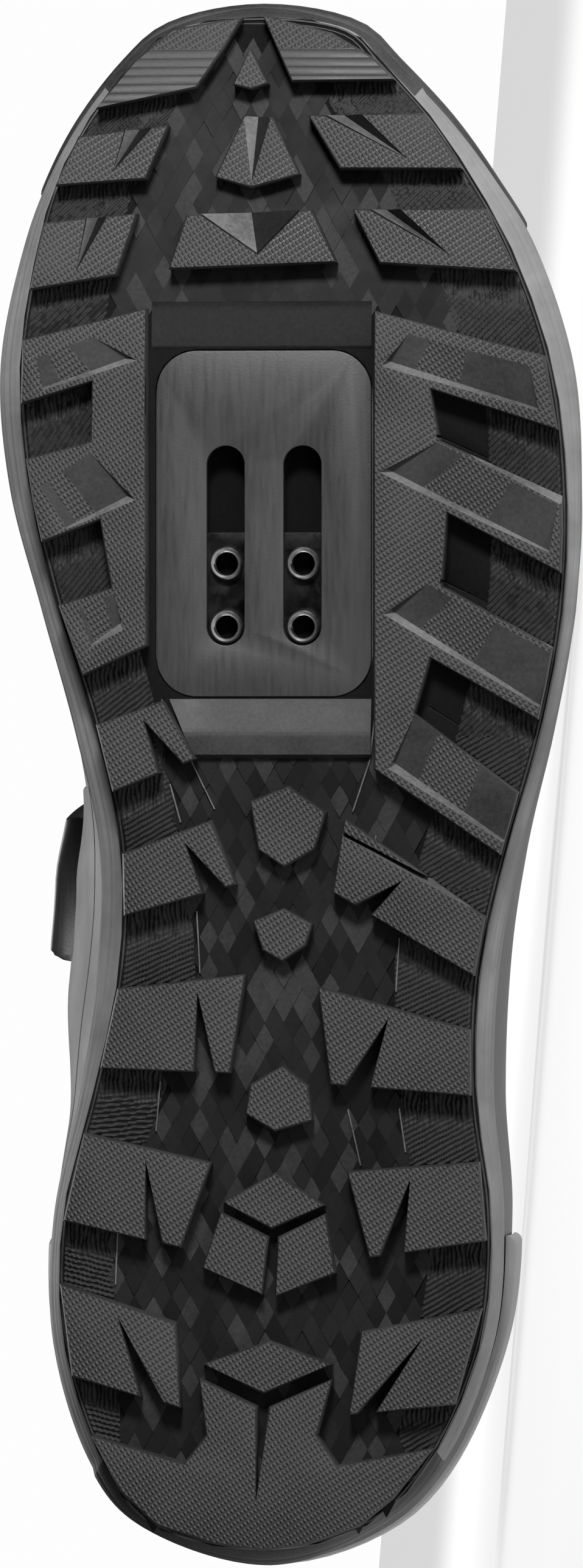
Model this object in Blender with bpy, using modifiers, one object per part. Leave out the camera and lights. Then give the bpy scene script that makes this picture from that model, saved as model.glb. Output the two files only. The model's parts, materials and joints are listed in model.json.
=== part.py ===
"""Left cycling shoe for off-road riding, lying on its lateral side.

The shoe is modelled upright in its own frame: X to the medial side, Y to the toe, Z up,
with the tread on z = 0. One empty then carries every piece and lays the shoe down:
the toe points to +X, the sole faces -Y, and the sole's edge and the upper share the floor.
"""

from collections import namedtuple
from functools import lru_cache
import math

import bmesh
import bpy
from mathutils import Matrix, Vector
import numpy as np

MM = 0.001

# Driving sizes of the shoe
LENGTH = 285 * MM
BALL_WIDTH = 106 * MM
COLLAR_HEIGHT = 88 * MM
TOE_SPRING = 18 * MM
HEEL_BEVEL = 4 * MM
SPRING_START = 0.735  # share of the length where the tread leaves the ground
SPRING_CURVE = 1.8  # power of the toe spring's curve
BEVEL_END = 0.060  # share of the length where the heel meets the ground
SPRING_STATIONS = 9
BEVEL_STATIONS = (0.060, 0.036)

# Sole
LUG_DEPTH = 5.5 * MM
CENTRE_LUG_DEPTH = 4.5 * MM
LUG_CHAMFER = 0.5 * MM
LUG_ROOT = 1.2 * MM
BASE = 2.6 * MM
TREAD_MARGIN = 0.7 * MM
RIM = 4 * MM
HEEL_STACK = 24 * MM
BALL_STACK = 15 * MM
TOE_STACK = 11 * MM
ARCH_FALL = (0.20, 0.62)  # shares of the length between which the midsole thins from heel to ball
TOE_FALL = (0.80, 1.00)
INSOLE = 3 * MM
INSOLE_EASE = 1.25  # the insole's edge stands off by this share of the wall and its gaps
INSOLE_SPAN = (0.15, 0.82)  # its edge is drawn in towards this stretch of the middle line
SOLE_COLUMNS = 34

# Upper, its overlays and its straps
WALL = 2.4 * MM
FOOT_LEVEL = 0.55  # share of the rim on which the upper stands
LEAN = 15 * MM
VAMP = 0.32  # share of the half outline, from the toe, at which the throat opens
THROAT_TOP = 0.56
TOE_COLUMNS = 9
SIDE_COLUMNS = 19
WALL_ROWS = 10
GUARD_WALL = 1.5 * MM
GUARD_FOOT = 0.03  # share of the wall's height at which an overlay starts
GUARD_ROWS = 6
TONGUE_WALL = 4 * MM
TONGUE_LAP = 0.80  # share of the wall's height from which the tongue lies behind the throat's edge
TONGUE_SPAN = (0.35, 0.535)  # reach of the top line along which the tongue lies under the throat
TONGUE_COLUMNS = 9
TONGUE_NOSE = 9 * MM
TONGUE_GAP = 0.8 * MM
THROAT_ARCH = 0.36  # how far the line over the throat keeps the walls' direction, of its width
STRAP_WIDTH = 24 * MM
STRAP_WALL = 1.8 * MM
STRAP_SLANT = 8 * MM  # how far the instep strap's medial end lies behind its crossing of the throat
KEEPER_WALL = 4.6 * MM

# Cleat pocket: a smooth plate with two slots, and the threaded plate behind it
PLATE_LENGTH = 63.4 * MM
PLATE_WIDTH = 39.7 * MM
PLATE_CORNER = 7.5 * MM
PLATE_ALONG = 0.666
PLATE_ACROSS = 0.018
SLOT_SPACING = 14 * MM
SLOT_WIDTH = 6.9 * MM
SLOT_LENGTH = 36.3 * MM
SLOT_BACK = 4 * MM  # the slots' centre lies this far behind the plate's
SLOT_FLAT = 0.01 * MM  # short flat at the middle of the slots' round ends
ROW_SPACING = 11.5 * MM
THREAD_BORE = 4.3 * MM
BOSS = 5.9 * MM
BOSS_RISE = 1.9 * MM
NUT_WALL = 2.4 * MM
NUT_BORDER = 5.6 * MM
CAVITY_CLEARANCE = 0.8 * MM

GAP = 0.3 * MM
OVERLAY_GAP = 0.5 * MM  # between the upper's facets and what lies on them
STRAP_GAP = 0.7 * MM

Edge = namedtuple("Edge", "along medial lateral rim_medial rim_lateral")
# Tread outline from heel to toe: lengths as shares of LENGTH and BALL_WIDTH, rims of RIM.
OUTLINE = [
    Edge(0.028, 0.217, 0.160, 0.80, 0.60),
    Edge(0.067, 0.295, 0.264, 0.85, 0.55),
    Edge(0.144, 0.363, 0.354, 0.70, 0.40),
    Edge(0.223, 0.365, 0.372, 0.60, 0.35),
    Edge(0.302, 0.313, 0.346, 0.80, 0.60),
    Edge(0.379, 0.269, 0.352, 1.15, 0.70),
    Edge(0.456, 0.264, 0.397, 1.10, 0.50),
    Edge(0.533, 0.306, 0.456, 1.10, 0.40),
    Edge(0.612, 0.372, 0.495, 0.90, 0.50),
    Edge(0.690, 0.423, 0.501, 1.00, 0.60),
    Edge(0.768, 0.439, 0.475, 1.00, 0.90),
    Edge(0.846, 0.410, 0.399, 0.75, 1.05),
    Edge(0.884, 0.383, 0.340, 0.55, 0.95),
    Edge(0.923, 0.334, 0.271, 0.45, 0.70),
    Edge(0.963, 0.256, 0.175, 0.40, 0.55),
    Edge(0.984, 0.192, 0.118, 0.40, 0.45),
]
Tip = namedtuple("Tip", "along across rim")
HEEL_TIP = Tip(0.011, 0.018, 0.75)
TOE_TIP = Tip(0.993, 0.039, 0.40)

Top = namedtuple("Top", "reach along centre half height lean_medial lean_lateral shoulder drop")
# The upper's top line from toe to heel. reach is the share of the half outline; along is of
# LENGTH; centre and half are of BALL_WIDTH; height is of COLLAR_HEIGHT; leans are of LEAN.
TOPLINE = [
    Top(0.00, 0.955, 0.040, 0.000, 0.52, 0.04, 0.04, 0.60, 0.00),
    Top(0.08, 0.935, 0.050, 0.000, 0.55, 0.04, 0.06, 0.60, 0.00),
    Top(0.16, 0.885, 0.065, 0.000, 0.60, 0.05, 0.10, 0.60, 0.02),
    Top(0.24, 0.810, 0.075, 0.000, 0.66, 0.08, 0.14, 0.62, 0.03),
    Top(0.32, 0.705, 0.075, 0.000, 0.75, 0.12, 0.16, 0.62, 0.05),
    Top(0.36, 0.665, 0.070, 0.055, 0.79, 0.18, 0.17, 0.60, 0.08),
    Top(0.42, 0.600, 0.055, 0.085, 0.86, 0.38, 0.20, 0.55, 0.12),
    Top(0.50, 0.505, 0.035, 0.120, 0.99, 0.82, 0.28, 0.45, 0.20),
    Top(0.56, 0.440, 0.020, 0.175, 1.12, 1.27, 0.38, 0.35, 0.30),
    Top(0.62, 0.365, 0.005, 0.235, 1.02, 1.20, 0.46, 0.20, 0.35),
    Top(0.70, 0.280, 0.000, 0.275, 0.86, 0.56, 0.38, 0.15, 0.40),
    Top(0.78, 0.200, 0.000, 0.275, 0.80, 0.34, 0.28, 0.15, 0.40),
    Top(0.86, 0.120, 0.005, 0.245, 0.85, 0.28, 0.18, 0.20, 0.40),
    Top(0.93, 0.062, 0.010, 0.160, 0.94, 0.24, 0.24, 0.30, 0.45),
    Top(1.00, 0.035, 0.018, 0.000, 1.00, 0.22, 0.22, 0.40, 0.50),
]
WALL_RISE = 0.55  # how far up the wall's lower handle stands
UPPER_LEAN = 0.7  # the upper handle's share of the lean

SideStep = namedtuple("SideStep", "rim height")
# The midsole's side from bottom to top, as shares of the rim and of its thickness.
MIDSOLE_SIDE = [
    SideStep(0.10, 0.00),
    SideStep(0.90, 0.22),
    SideStep(1.00, 0.48),
    SideStep(0.72, 0.54),
    SideStep(1.00, 0.60),
    SideStep(0.92, 1.00),
]

Lug = namedtuple("Lug", "front_in front_out rear_out rear_in mouth_from mouth_to tip")
# Side lugs. Corners and notch tips are (share of LENGTH, share of BALL_WIDTH, medial +).
# The notch opens between two shares of the front or rear edge, from its inner end.
FRONT_NOTCHED = [
    Lug((0.921, 0.186), (0.914, 0.345), (0.882, 0.383), (0.886, 0.222), 0.19, 0.46, (0.892, 0.278)),
    Lug((0.864, 0.236), (0.858, 0.404), (0.815, 0.427), (0.824, 0.270), 0.32, 0.51, (0.828, 0.338)),
    Lug((0.927, -0.054), (0.928, -0.265), (0.892, -0.325), (0.892, -0.111), 0.15, 0.43, (0.899, -0.225)),
    Lug((0.866, -0.134), (0.866, -0.365), (0.826, -0.418), (0.831, -0.182), 0.14, 0.35, (0.836, -0.303)),
    Lug((0.863, 0.151), (0.866, -0.064), (0.832, -0.108), (0.828, 0.180), 0.12, 0.90, (0.838, 0.028)),
]
REAR_NOTCHED = [
    Lug((0.553, 0.188), (0.538, 0.304), (0.495, 0.277), (0.516, 0.131), 0.16, 0.43, (0.540, 0.220)),
    Lug((0.477, 0.105), (0.456, 0.262), (0.416, 0.257), (0.436, 0.062), 0.10, 0.29, (0.462, 0.149)),
    Lug((0.379, 0.046), (0.370, 0.270), (0.319, 0.301), (0.316, 0.072), 0.12, 0.27, (0.367, 0.128)),
    Lug((0.259, 0.105), (0.278, 0.332), (0.222, 0.367), (0.205, 0.156), 0.16, 0.29, (0.260, 0.217)),
    Lug((0.157, 0.165), (0.182, 0.371), (0.123, 0.352), (0.103, 0.157), 0.16, 0.35, (0.160, 0.264)),
    Lug((0.478, -0.124), (0.416, -0.370), (0.378, -0.347), (0.431, -0.103), 0.16, 0.27, (0.438, -0.221)),
    Lug((0.371, -0.079), (0.344, -0.341), (0.302, -0.341), (0.309, -0.099), 0.11, 0.28, (0.350, -0.198)),
    Lug((0.254, -0.128), (0.260, -0.361), (0.210, -0.374), (0.199, -0.166), 0.09, 0.28, (0.248, -0.236)),
    Lug((0.152, -0.152), (0.167, -0.367), (0.106, -0.321), (0.099, -0.131), 0.08, 0.24, (0.148, -0.258)),
]

# Rails beside the cleat pocket: the inner edge, then the outer edge with its pockets.
MEDIAL_RAIL = [
    (0.588, 0.215), (0.803, 0.217), (0.783, 0.440), (0.742, 0.440), (0.756, 0.310), (0.718, 0.312),
    (0.707, 0.434), (0.680, 0.420), (0.654, 0.404), (0.668, 0.296), (0.625, 0.276), (0.614, 0.372),
    (0.569, 0.325),
]
LATERAL_RAIL = [
    (0.509, -0.174), (0.801, -0.174), (0.772, -0.470), (0.725, -0.490), (0.751, -0.271), (0.718, -0.288),
    (0.683, -0.500), (0.660, -0.503), (0.634, -0.500), (0.672, -0.300), (0.626, -0.292), (0.587, -0.486),
    (0.565, -0.476), (0.541, -0.462), (0.580, -0.271), (0.545, -0.244), (0.495, -0.425), (0.455, -0.396),
]
TOE_LUGS = [
    [(0.991, 0.065), (0.971, 0.094), (0.945, 0.139), (0.932, 0.312), (0.963, 0.250), (0.984, 0.185)],
    [(0.993, 0.030), (0.949, -0.024), (0.950, -0.204), (0.965, -0.165), (0.981, -0.091)],
    [(0.971, 0.049), (0.948, 0.016), (0.944, 0.046), (0.947, 0.077)],
]
HEEL_LUG = [
    (0.085, 0.312), (0.068, 0.152), (0.086, 0.114), (0.122, 0.125), (0.104, 0.026), (0.044, 0.028),
    (0.104, 0.006), (0.122, -0.103), (0.086, -0.077), (0.067, -0.111), (0.078, -0.284), (0.045, -0.205),
    (0.028, -0.150), (0.016, -0.060), (0.012, 0.018), (0.016, 0.100), (0.028, 0.200), (0.050, 0.262),
]
CENTRE_LUGS = [
    [(0.927, 0.058), (0.926, 0.007), (0.889, -0.042), (0.880, 0.041), (0.887, 0.104)],
    [(0.489, 0.039), (0.499, -0.026), (0.482, -0.092), (0.458, -0.073), (0.447, -0.019), (0.458, 0.025)],
    [(0.413, 0.034), (0.421, -0.019), (0.411, -0.068), (0.397, -0.056), (0.387, -0.016), (0.394, 0.018)],
    [(0.309, 0.039), (0.321, -0.016), (0.308, -0.062), (0.286, -0.069), (0.279, -0.003), (0.290, 0.047)],
    [(0.253, -0.004), (0.232, -0.089), (0.217, 0.002), (0.234, 0.087)],
    [(0.228, 0.089), (0.212, 0.006), (0.175, 0.018), (0.192, 0.121)],
    [(0.227, -0.091), (0.212, -0.008), (0.174, -0.004), (0.189, -0.108)],
    [(0.131, 0.120), (0.146, 0.007), (0.131, -0.102), (0.112, 0.016)],
]

Strap = namedtuple("Strap", "name reach width lateral_end medial_end slant")
# Each strap crosses the throat at a reach of the top line, with its width as a share of
# STRAP_WIDTH. Its ends are shares of the wall's height, and slant is a share of STRAP_SLANT.
STRAPS = [
    Strap("strap_toe", 0.385, 0.75, 0.55, 0.50, 0.0),
    Strap("strap_middle", 0.450, 0.75, 0.52, 0.48, 0.0),
    Strap("strap_instep", 0.522, 1.00, 0.45, 0.60, 1.0),
]
KEEPER_ENDS = (0.34, 0.585)
KEEPER_OVERHANG = 2.4 * MM  # on each side of the instep strap

Guard = namedtuple("Guard", "start end columns edge crest")
# Overlays at toe and heel: reach from start to end, and their top edge's height at the ends and
# what it gains at the middle, as shares of the wall's height.
TOE_GUARD = Guard(-0.20, 0.17, 17, 0.22, 0.30)
HEEL_COUNTER = Guard(0.76, 1.24, 19, 0.20, 0.42)

Crown = namedtuple("Crown", "climb width sag")
# The tongue past the throat: climb is a share of COLLAR_HEIGHT, width and sag of its last section.
TONGUE_CROWN = [
    Crown(0.05, 0.86, 0.85),
    Crown(0.11, 0.80, 0.66),
    Crown(0.18, 0.76, 0.50),
    Crown(0.25, 0.62, 0.40),
]

# Solid colours, roughness and metallic values, and the share of real density for the balance point
Finish = namedtuple("Finish", "red green blue roughness metallic density")
RUBBER = Finish(0.025, 0.025, 0.026, 0.62, 0.0, 1150)
FOAM = Finish(0.16, 0.16, 0.165, 0.70, 0.0, 420)
NYLON = Finish(0.10, 0.10, 0.105, 0.42, 0.0, 1150)
STEEL = Finish(0.36, 0.36, 0.37, 0.35, 1.0, 7800)
FABRIC = Finish(0.14, 0.14, 0.15, 0.80, 0.0, 700)
SHELL = Finish(0.20, 0.20, 0.21, 0.45, 0.0, 950)
WEBBING = Finish(0.035, 0.035, 0.038, 0.75, 0.0, 800)


def smooth(rows, key, name, value):
    """A column of a table at a value of its key, without overshoot between its rows."""
    keys = np.array([getattr(row, key) for row in rows])
    column = np.array([getattr(row, name) for row in rows])
    slopes = np.diff(column) / np.diff(keys)
    bends = np.zeros(len(keys))
    same = slopes[:-1] * slopes[1:] > 0
    total = slopes[:-1] + slopes[1:]
    bends[1:-1][same] = 2 * slopes[:-1][same] * slopes[1:][same] / total[same]
    bends[0] = slopes[0]
    bends[-1] = slopes[-1]
    value = min(max(value, keys[0]), keys[-1])
    i = min(int(np.searchsorted(keys, value, side="right")) - 1, len(keys) - 2)
    step = keys[i + 1] - keys[i]
    t = (value - keys[i]) / step
    start = (2 * t**3 - 3 * t**2 + 1) * column[i] + (t**3 - 2 * t**2 + t) * step * bends[i]
    end = (3 * t**2 - 2 * t**3) * column[i + 1] + (t**3 - t**2) * step * bends[i + 1]
    return float(start + end)


def blend(start, end, value):
    t = min(max((value - start) / (end - start), 0.0), 1.0)
    return t * t * (3 - 2 * t)


def rise(y):
    """How far the tread lies above the ground plane: the toe spring and the heel's bevel."""
    share = y / LENGTH
    spring = TOE_SPRING * max(0.0, (share - SPRING_START) / (1 - SPRING_START)) ** SPRING_CURVE
    bevel = HEEL_BEVEL * max(0.0, (BEVEL_END - share) / BEVEL_END) ** 2
    return spring + bevel


def base_top(y):
    return rise(y) + LUG_DEPTH + BASE


def feather(y):
    """Height of the line where the upper meets the midsole."""
    share = y / LENGTH
    stack = HEEL_STACK + (BALL_STACK - HEEL_STACK) * blend(*ARCH_FALL, share)
    return rise(y) + stack + (TOE_STACK - BALL_STACK) * blend(*TOE_FALL, share)


@lru_cache(maxsize=None)
def outline(level):
    """The half outlines from toe tip to heel tip, medial and lateral, at a share of the rim."""
    points = [(HEEL_TIP.across * BALL_WIDTH, HEEL_TIP.along * LENGTH - level * HEEL_TIP.rim * RIM)]
    for row in OUTLINE:
        points.append((row.medial * BALL_WIDTH + level * row.rim_medial * RIM, row.along * LENGTH))
    points.append((TOE_TIP.across * BALL_WIDTH, TOE_TIP.along * LENGTH + level * TOE_TIP.rim * RIM))
    for row in reversed(OUTLINE):
        points.append((-row.lateral * BALL_WIDTH - level * row.rim_lateral * RIM, row.along * LENGTH))
    points = np.array(points)
    count = len(points)
    toe = len(OUTLINE) + 1
    curve = []
    for i in range(count):
        before, start, end, after = (points[(i + k) % count] for k in (-1, 0, 1, 2))
        for t in np.arange(12) / 12:
            curve.append(centripetal(before, start, end, after, t))
    curve = np.array(curve + [curve[0]])
    medial = curve[: toe * 12 + 1][::-1]
    lateral = curve[toe * 12 :]
    halves = []
    for half in (medial, lateral):
        lengths = np.concatenate([[0], np.cumsum(np.linalg.norm(np.diff(half, axis=0), axis=1))])
        halves.append((lengths / lengths[-1], half))
    return halves


def centripetal(before, start, end, after, t):
    """A point between start and end of a Catmull-Rom curve that keeps tight bends clean."""
    knots = [0.0]
    for a, b in ((before, start), (start, end), (end, after)):
        knots.append(knots[-1] + math.sqrt(max(np.linalg.norm(b - a), 1e-9)))
    k0, k1, k2, k3 = knots
    k = k1 + (k2 - k1) * t
    a1 = before + (start - before) * (k - k0) / (k1 - k0)
    a2 = start + (end - start) * (k - k1) / (k2 - k1)
    a3 = end + (after - end) * (k - k2) / (k3 - k2)
    b1 = a1 + (a2 - a1) * (k - k0) / (k2 - k0)
    b2 = a2 + (a3 - a2) * (k - k1) / (k3 - k1)
    return b1 + (b2 - b1) * (k - k1) / (k2 - k1)


def edge_point(reach, level):
    """A point of the outline: reach runs from -1 (heel) over the lateral side to 0 (toe) to 1."""
    reach = (reach + 1) % 2 - 1 if abs(reach) > 1 else reach
    shares, half = outline(level)[0 if reach >= 0 else 1]
    x = np.interp(abs(reach), shares, half[:, 0])
    y = np.interp(abs(reach), shares, half[:, 1])
    return np.array([x, y])


def half_width(along, medial):
    """The tread's half width at a share of the length, positive on both sides."""
    half = outline(0.0)[0 if medial else 1][1]
    order = np.argsort(half[:, 1])
    return abs(float(np.interp(along * LENGTH, half[order, 1], half[order, 0])))


def wall(reach, up):
    """A point of the upper's outer face: reach goes round the shoe and up runs from 0 to 1."""
    step = 0.01
    foot = edge_point(reach, FOOT_LEVEL)
    tangent = edge_point(reach + step, FOOT_LEVEL) - edge_point(reach - step, FOOT_LEVEL)
    outward = np.array([-tangent[1], tangent[0]]) / np.linalg.norm(tangent)
    here = min(abs(reach), 2 - abs(reach))
    medial = 0 <= reach <= 1 or reach < -1
    side = 1 if medial else -1
    column = {name: smooth(TOPLINE, "reach", name, here) for name in Top._fields[1:]}
    top_x = (column["centre"] + side * column["half"]) * BALL_WIDTH
    top = np.array([top_x, column["along"] * LENGTH, column["height"] * COLLAR_HEIGHT])
    foot = np.array([foot[0], foot[1], feather(foot[1]) + GAP])
    tall = top[2] - foot[2]
    lean = column["lean_medial" if medial else "lean_lateral"] * LEAN
    push = np.array([outward[0] * lean, outward[1] * lean, 0.0])
    spread = np.array([foot[0] - top[0], foot[1] - top[1], 0.0])
    lower = foot + push + np.array([0, 0, WALL_RISE * tall])
    drop = np.array([0, 0, column["drop"] * tall])
    upper = top + spread * column["shoulder"] + push * UPPER_LEAN - drop
    a, b, c, d = (1 - up) ** 3, 3 * up * (1 - up) ** 2, 3 * up**2 * (1 - up), up**3
    return foot * a + lower * b + upper * c + top * d


def wall_normal(reach, up):
    small = 0.004
    climb = wall(reach, min(up + small, 1)) - wall(reach, max(up - small, 0))
    sideways = wall(reach + small, up) - wall(reach - small, up)
    normal = np.cross(climb, sideways)
    return normal / np.linalg.norm(normal)


def lifted(reach, up, lift):
    """A point of the wall moved out along its normal, or in where lift is negative."""
    return wall(reach, up) + wall_normal(reach, up) * lift


def beside(reach, up, shift):
    """The reach of a point that lies a real distance further to the heel than this one."""
    step = 0.01
    speed = np.linalg.norm(wall(reach + step, up) - wall(reach - step, up)) / (2 * step)
    return reach + math.copysign(1, reach) * shift / speed


def slanted(medial_up, slant, up):
    """How far a strap that slants by a length lies back at a height of the medial wall."""
    return slant * (1 - up) / (1 - medial_up)


def across_throat(reach, lateral_up, medial_up, lift, shift=0.0, slant=0.0, wall_count=5, bridge_count=5):
    """A line over the foot from the lateral wall across the throat to the medial wall."""
    lateral = []
    for up in np.linspace(lateral_up, 1, wall_count):
        lateral.append(lifted(beside(-reach, up, shift), up, lift))
    medial = []
    for up in np.linspace(1, medial_up, wall_count):
        back = shift + slanted(medial_up, slant, up)
        medial.append(lifted(beside(reach, up, back), up, lift))
    start, end = lateral[-1], medial[0]
    width = np.linalg.norm(end - start)
    arch = width * THROAT_ARCH
    rising = (lateral[-1] - lateral[-2]) / np.linalg.norm(lateral[-1] - lateral[-2])
    falling = (medial[0] - medial[1]) / np.linalg.norm(medial[0] - medial[1])
    handles = start, start + rising * arch, end + falling * arch, end
    bridge = []
    for t in np.arange(1, bridge_count) / bridge_count:
        weights = ((1 - t) ** 3, 3 * t * (1 - t) ** 2, 3 * t**2 * (1 - t), t**3)
        bridge.append(sum(w * p for w, p in zip(weights, handles)))
    return lateral + bridge + medial


def finish_material(name, finish):
    material = bpy.data.materials.get(name) or bpy.data.materials.new(name)
    material.use_nodes = True
    shader = material.node_tree.nodes["Principled BSDF"]
    shader.inputs["Base Color"].default_value = (finish.red, finish.green, finish.blue, 1)
    shader.inputs["Roughness"].default_value = finish.roughness
    shader.inputs["Metallic"].default_value = finish.metallic
    return material


def new_object(name, mesh_or_bmesh, collection, finish=None, finish_name=None):
    mesh = mesh_or_bmesh
    if isinstance(mesh, bmesh.types.BMesh):
        mesh = bpy.data.meshes.new(name)
        mesh_or_bmesh.to_mesh(mesh)
        mesh_or_bmesh.free()
    obj = bpy.data.objects.new(name, mesh)
    collection.objects.link(obj)
    if finish:
        obj.data.materials.append(finish_material(finish_name, finish))
        obj["density"] = finish.density
    return obj


def helper(name, mesh_or_bmesh, helpers):
    obj = new_object(name, mesh_or_bmesh, helpers)
    obj.hide_render = True
    obj.display_type = "WIRE"
    return obj


def cut(obj, tool, operation="DIFFERENCE"):
    modifier = obj.modifiers.new(tool.name, "BOOLEAN")
    modifier.operation = operation
    modifier.solver = "EXACT"
    modifier.object = tool


def baked(obj):
    """The object's mesh with its modifiers applied."""
    graph = bpy.context.evaluated_depsgraph_get()
    graph.update()
    mesh = bpy.data.meshes.new_from_object(obj.evaluated_get(graph))
    obj.modifiers.clear()
    obj.data = mesh
    return obj


def grid_bmesh(rows):
    """A surface through rows of points; each face looks to the left of its row, seen from above."""
    bm = bmesh.new()
    verts = [[bm.verts.new(point) for point in row] for row in rows]
    for first, second in zip(verts, verts[1:]):
        for i in range(len(first) - 1):
            bm.faces.new((first[i], first[i + 1], second[i + 1], second[i]))
    bmesh.ops.remove_doubles(bm, verts=bm.verts, dist=1e-6)
    return bm


def shell(name, rows, thickness, outward, collection, finish, finish_name):
    """A curved sheet of real thickness, on the outer or inner side of the given surface."""
    obj = new_object(name, grid_bmesh(rows), collection, finish, finish_name)
    solidify = obj.modifiers.new("thickness", "SOLIDIFY")
    solidify.thickness = thickness
    solidify.offset = 1 if outward else -1
    solidify.use_quality_normals = True
    obj.data.shade_smooth()
    obj.data.set_sharp_from_angle(angle=math.radians(50))
    return obj


def ring(level, height, columns):
    """Points right round the sole at a share of the rim, each at height(y)."""
    reaches = np.linspace(-1, 1, 2 * columns + 1)[:-1]
    points = []
    for reach in reaches:
        x, y = edge_point(reach, level)
        points.append((x, y, height(y)))
    return points


def stacked_rings(rings):
    """A closed body through rings that start at the heel, capped by strips across the foot."""
    bm = bmesh.new()
    loops = [[bm.verts.new(point) for point in points] for points in rings]
    count = len(loops[0])
    for low, high in zip(loops, loops[1:]):
        for i in range(count):
            j = (i + 1) % count
            bm.faces.new((low[i], low[j], high[j], high[i]))
    half = count // 2
    for loop in (loops[0], loops[-1]):
        for i in range(half):
            corners = [loop[i], loop[i + 1], loop[(-i - 1) % count], loop[(-i) % count]]
            bm.faces.new(list(dict.fromkeys(corners)))
    bmesh.ops.recalc_face_normals(bm, faces=bm.faces)
    return bm


def prism(points, low, high, chamfer=0.0):
    """A closed prism on a flat outline, with its lower edge chamfered where asked."""
    bm = bmesh.new()
    face = bm.faces.new([bm.verts.new((x, y, high)) for x, y in points])
    if face.calc_area() and face.normal.z < 0:
        face.normal_flip()
    made = bmesh.ops.extrude_face_region(bm, geom=[face])
    moved = [item for item in made["geom"] if isinstance(item, bmesh.types.BMVert)]
    bmesh.ops.translate(bm, verts=moved, vec=(0, 0, low + chamfer - high))
    if chamfer:
        bm.normal_update()
        foot = [item for item in made["geom"] if isinstance(item, bmesh.types.BMFace)]
        bmesh.ops.recalc_face_normals(bm, faces=bm.faces)
        bmesh.ops.inset_region(bm, faces=foot, thickness=chamfer * 0.8, depth=chamfer)
    bmesh.ops.recalc_face_normals(bm, faces=bm.faces)
    return bm


def cylinder(radius, depth, centre, segments=16):
    bm = bmesh.new()
    bmesh.ops.create_cone(
        bm, cap_ends=True, segments=segments, radius1=radius, radius2=radius, depth=depth,
        matrix=Matrix.Translation(centre),
    )
    return bm


def merged(parts):
    """One bmesh that holds several, still separate bodies."""
    whole = bmesh.new()
    for part in parts:
        mesh = bpy.data.meshes.new("part")
        part.to_mesh(mesh)
        part.free()
        whole.from_mesh(mesh)
        bpy.data.meshes.remove(mesh)
    return whole


def rounded_rectangle(centre_x, centre_y, width, length, radius, arc_steps=5):
    points = []
    for corner in range(4):
        start = corner * math.pi / 2
        side_x = 1 if corner in (0, 3) else -1
        side_y = 1 if corner in (0, 1) else -1
        for step in range(arc_steps + 1):
            angle = start + step / arc_steps * math.pi / 2
            x = centre_x + side_x * (width / 2 - radius) + radius * math.cos(angle)
            y = centre_y + side_y * (length / 2 - radius) + radius * math.sin(angle)
            points.append((x, y))
    return points


def follow_rise(obj, stations):
    """Splits a flat body at stations along the shoe and lifts it onto the toe spring and heel bevel."""
    bm = bmesh.new()
    bm.from_mesh(obj.data)
    for y in stations:
        geometry = bm.verts[:] + bm.edges[:] + bm.faces[:]
        bmesh.ops.bisect_plane(bm, geom=geometry, dist=1e-7, plane_co=(0, y, 0), plane_no=(0, 1, 0))
    for vert in bm.verts:
        vert.co.z += rise(vert.co.y)
    bm.to_mesh(obj.data)
    bm.free()


def on_tread(corner):
    """A corner of a lug in metres, kept inside the tread's edge."""
    along, across = corner
    limit = half_width(along, across >= 0) - TREAD_MARGIN
    x = math.copysign(min(abs(across) * BALL_WIDTH, max(limit, 0.0)), across)
    return x, along * LENGTH


def notched(lug, at_front):
    """A side lug's outline with its wedge-shaped notch in its front or rear edge."""
    inner, outer = (lug.front_in, lug.front_out) if at_front else (lug.rear_in, lug.rear_out)

    def on_edge(share):
        return tuple(a + (b - a) * share for a, b in zip(inner, outer))

    mouth = [on_edge(lug.mouth_from), lug.tip, on_edge(lug.mouth_to)]
    if at_front:
        return [lug.front_in, *mouth, lug.front_out, lug.rear_out, lug.rear_in]
    return [lug.front_in, lug.front_out, lug.rear_out, *reversed(mouth), lug.rear_in]


def build_outsole(parts, helpers):
    flat_ring = [edge_point(reach, 0.0) for reach in np.linspace(-1, 1, 2 * SOLE_COLUMNS + 1)[:-1]]
    slab = prism(flat_ring, LUG_DEPTH, LUG_DEPTH + BASE)
    outsole = new_object("outsole", slab, parts, RUBBER, "rubber")
    full_lugs = [notched(lug, True) for lug in FRONT_NOTCHED] + [notched(lug, False) for lug in REAR_NOTCHED]
    full_lugs += [MEDIAL_RAIL, LATERAL_RAIL, HEEL_LUG, *TOE_LUGS]
    root = LUG_DEPTH + LUG_ROOT
    lugs = [prism([on_tread(corner) for corner in lug], 0.0, root, LUG_CHAMFER) for lug in full_lugs]
    low = LUG_DEPTH - CENTRE_LUG_DEPTH
    lugs += [prism([on_tread(corner) for corner in lug], low, root, LUG_CHAMFER) for lug in CENTRE_LUGS]
    cut(outsole, helper("lugs", merged(lugs), helpers), "UNION")
    hole = rounded_rectangle(*plate_centre(), PLATE_WIDTH, PLATE_LENGTH, PLATE_CORNER)
    cut(outsole, helper("plate_hole", prism(hole, -LUG_DEPTH, 3 * LUG_DEPTH), helpers))
    baked(outsole)
    toe_stations = LENGTH * np.linspace(SPRING_START, TOE_TIP.along, SPRING_STATIONS)[:-1]
    heel_stations = LENGTH * np.array(BEVEL_STATIONS)
    follow_rise(outsole, [*toe_stations, *heel_stations])
    return outsole


def plate_centre():
    return PLATE_ACROSS * BALL_WIDTH, PLATE_ALONG * LENGTH


def slot_centres():
    x, y = plate_centre()
    return [(x + side * SLOT_SPACING / 2, y - SLOT_BACK) for side in (1, -1)]


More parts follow.
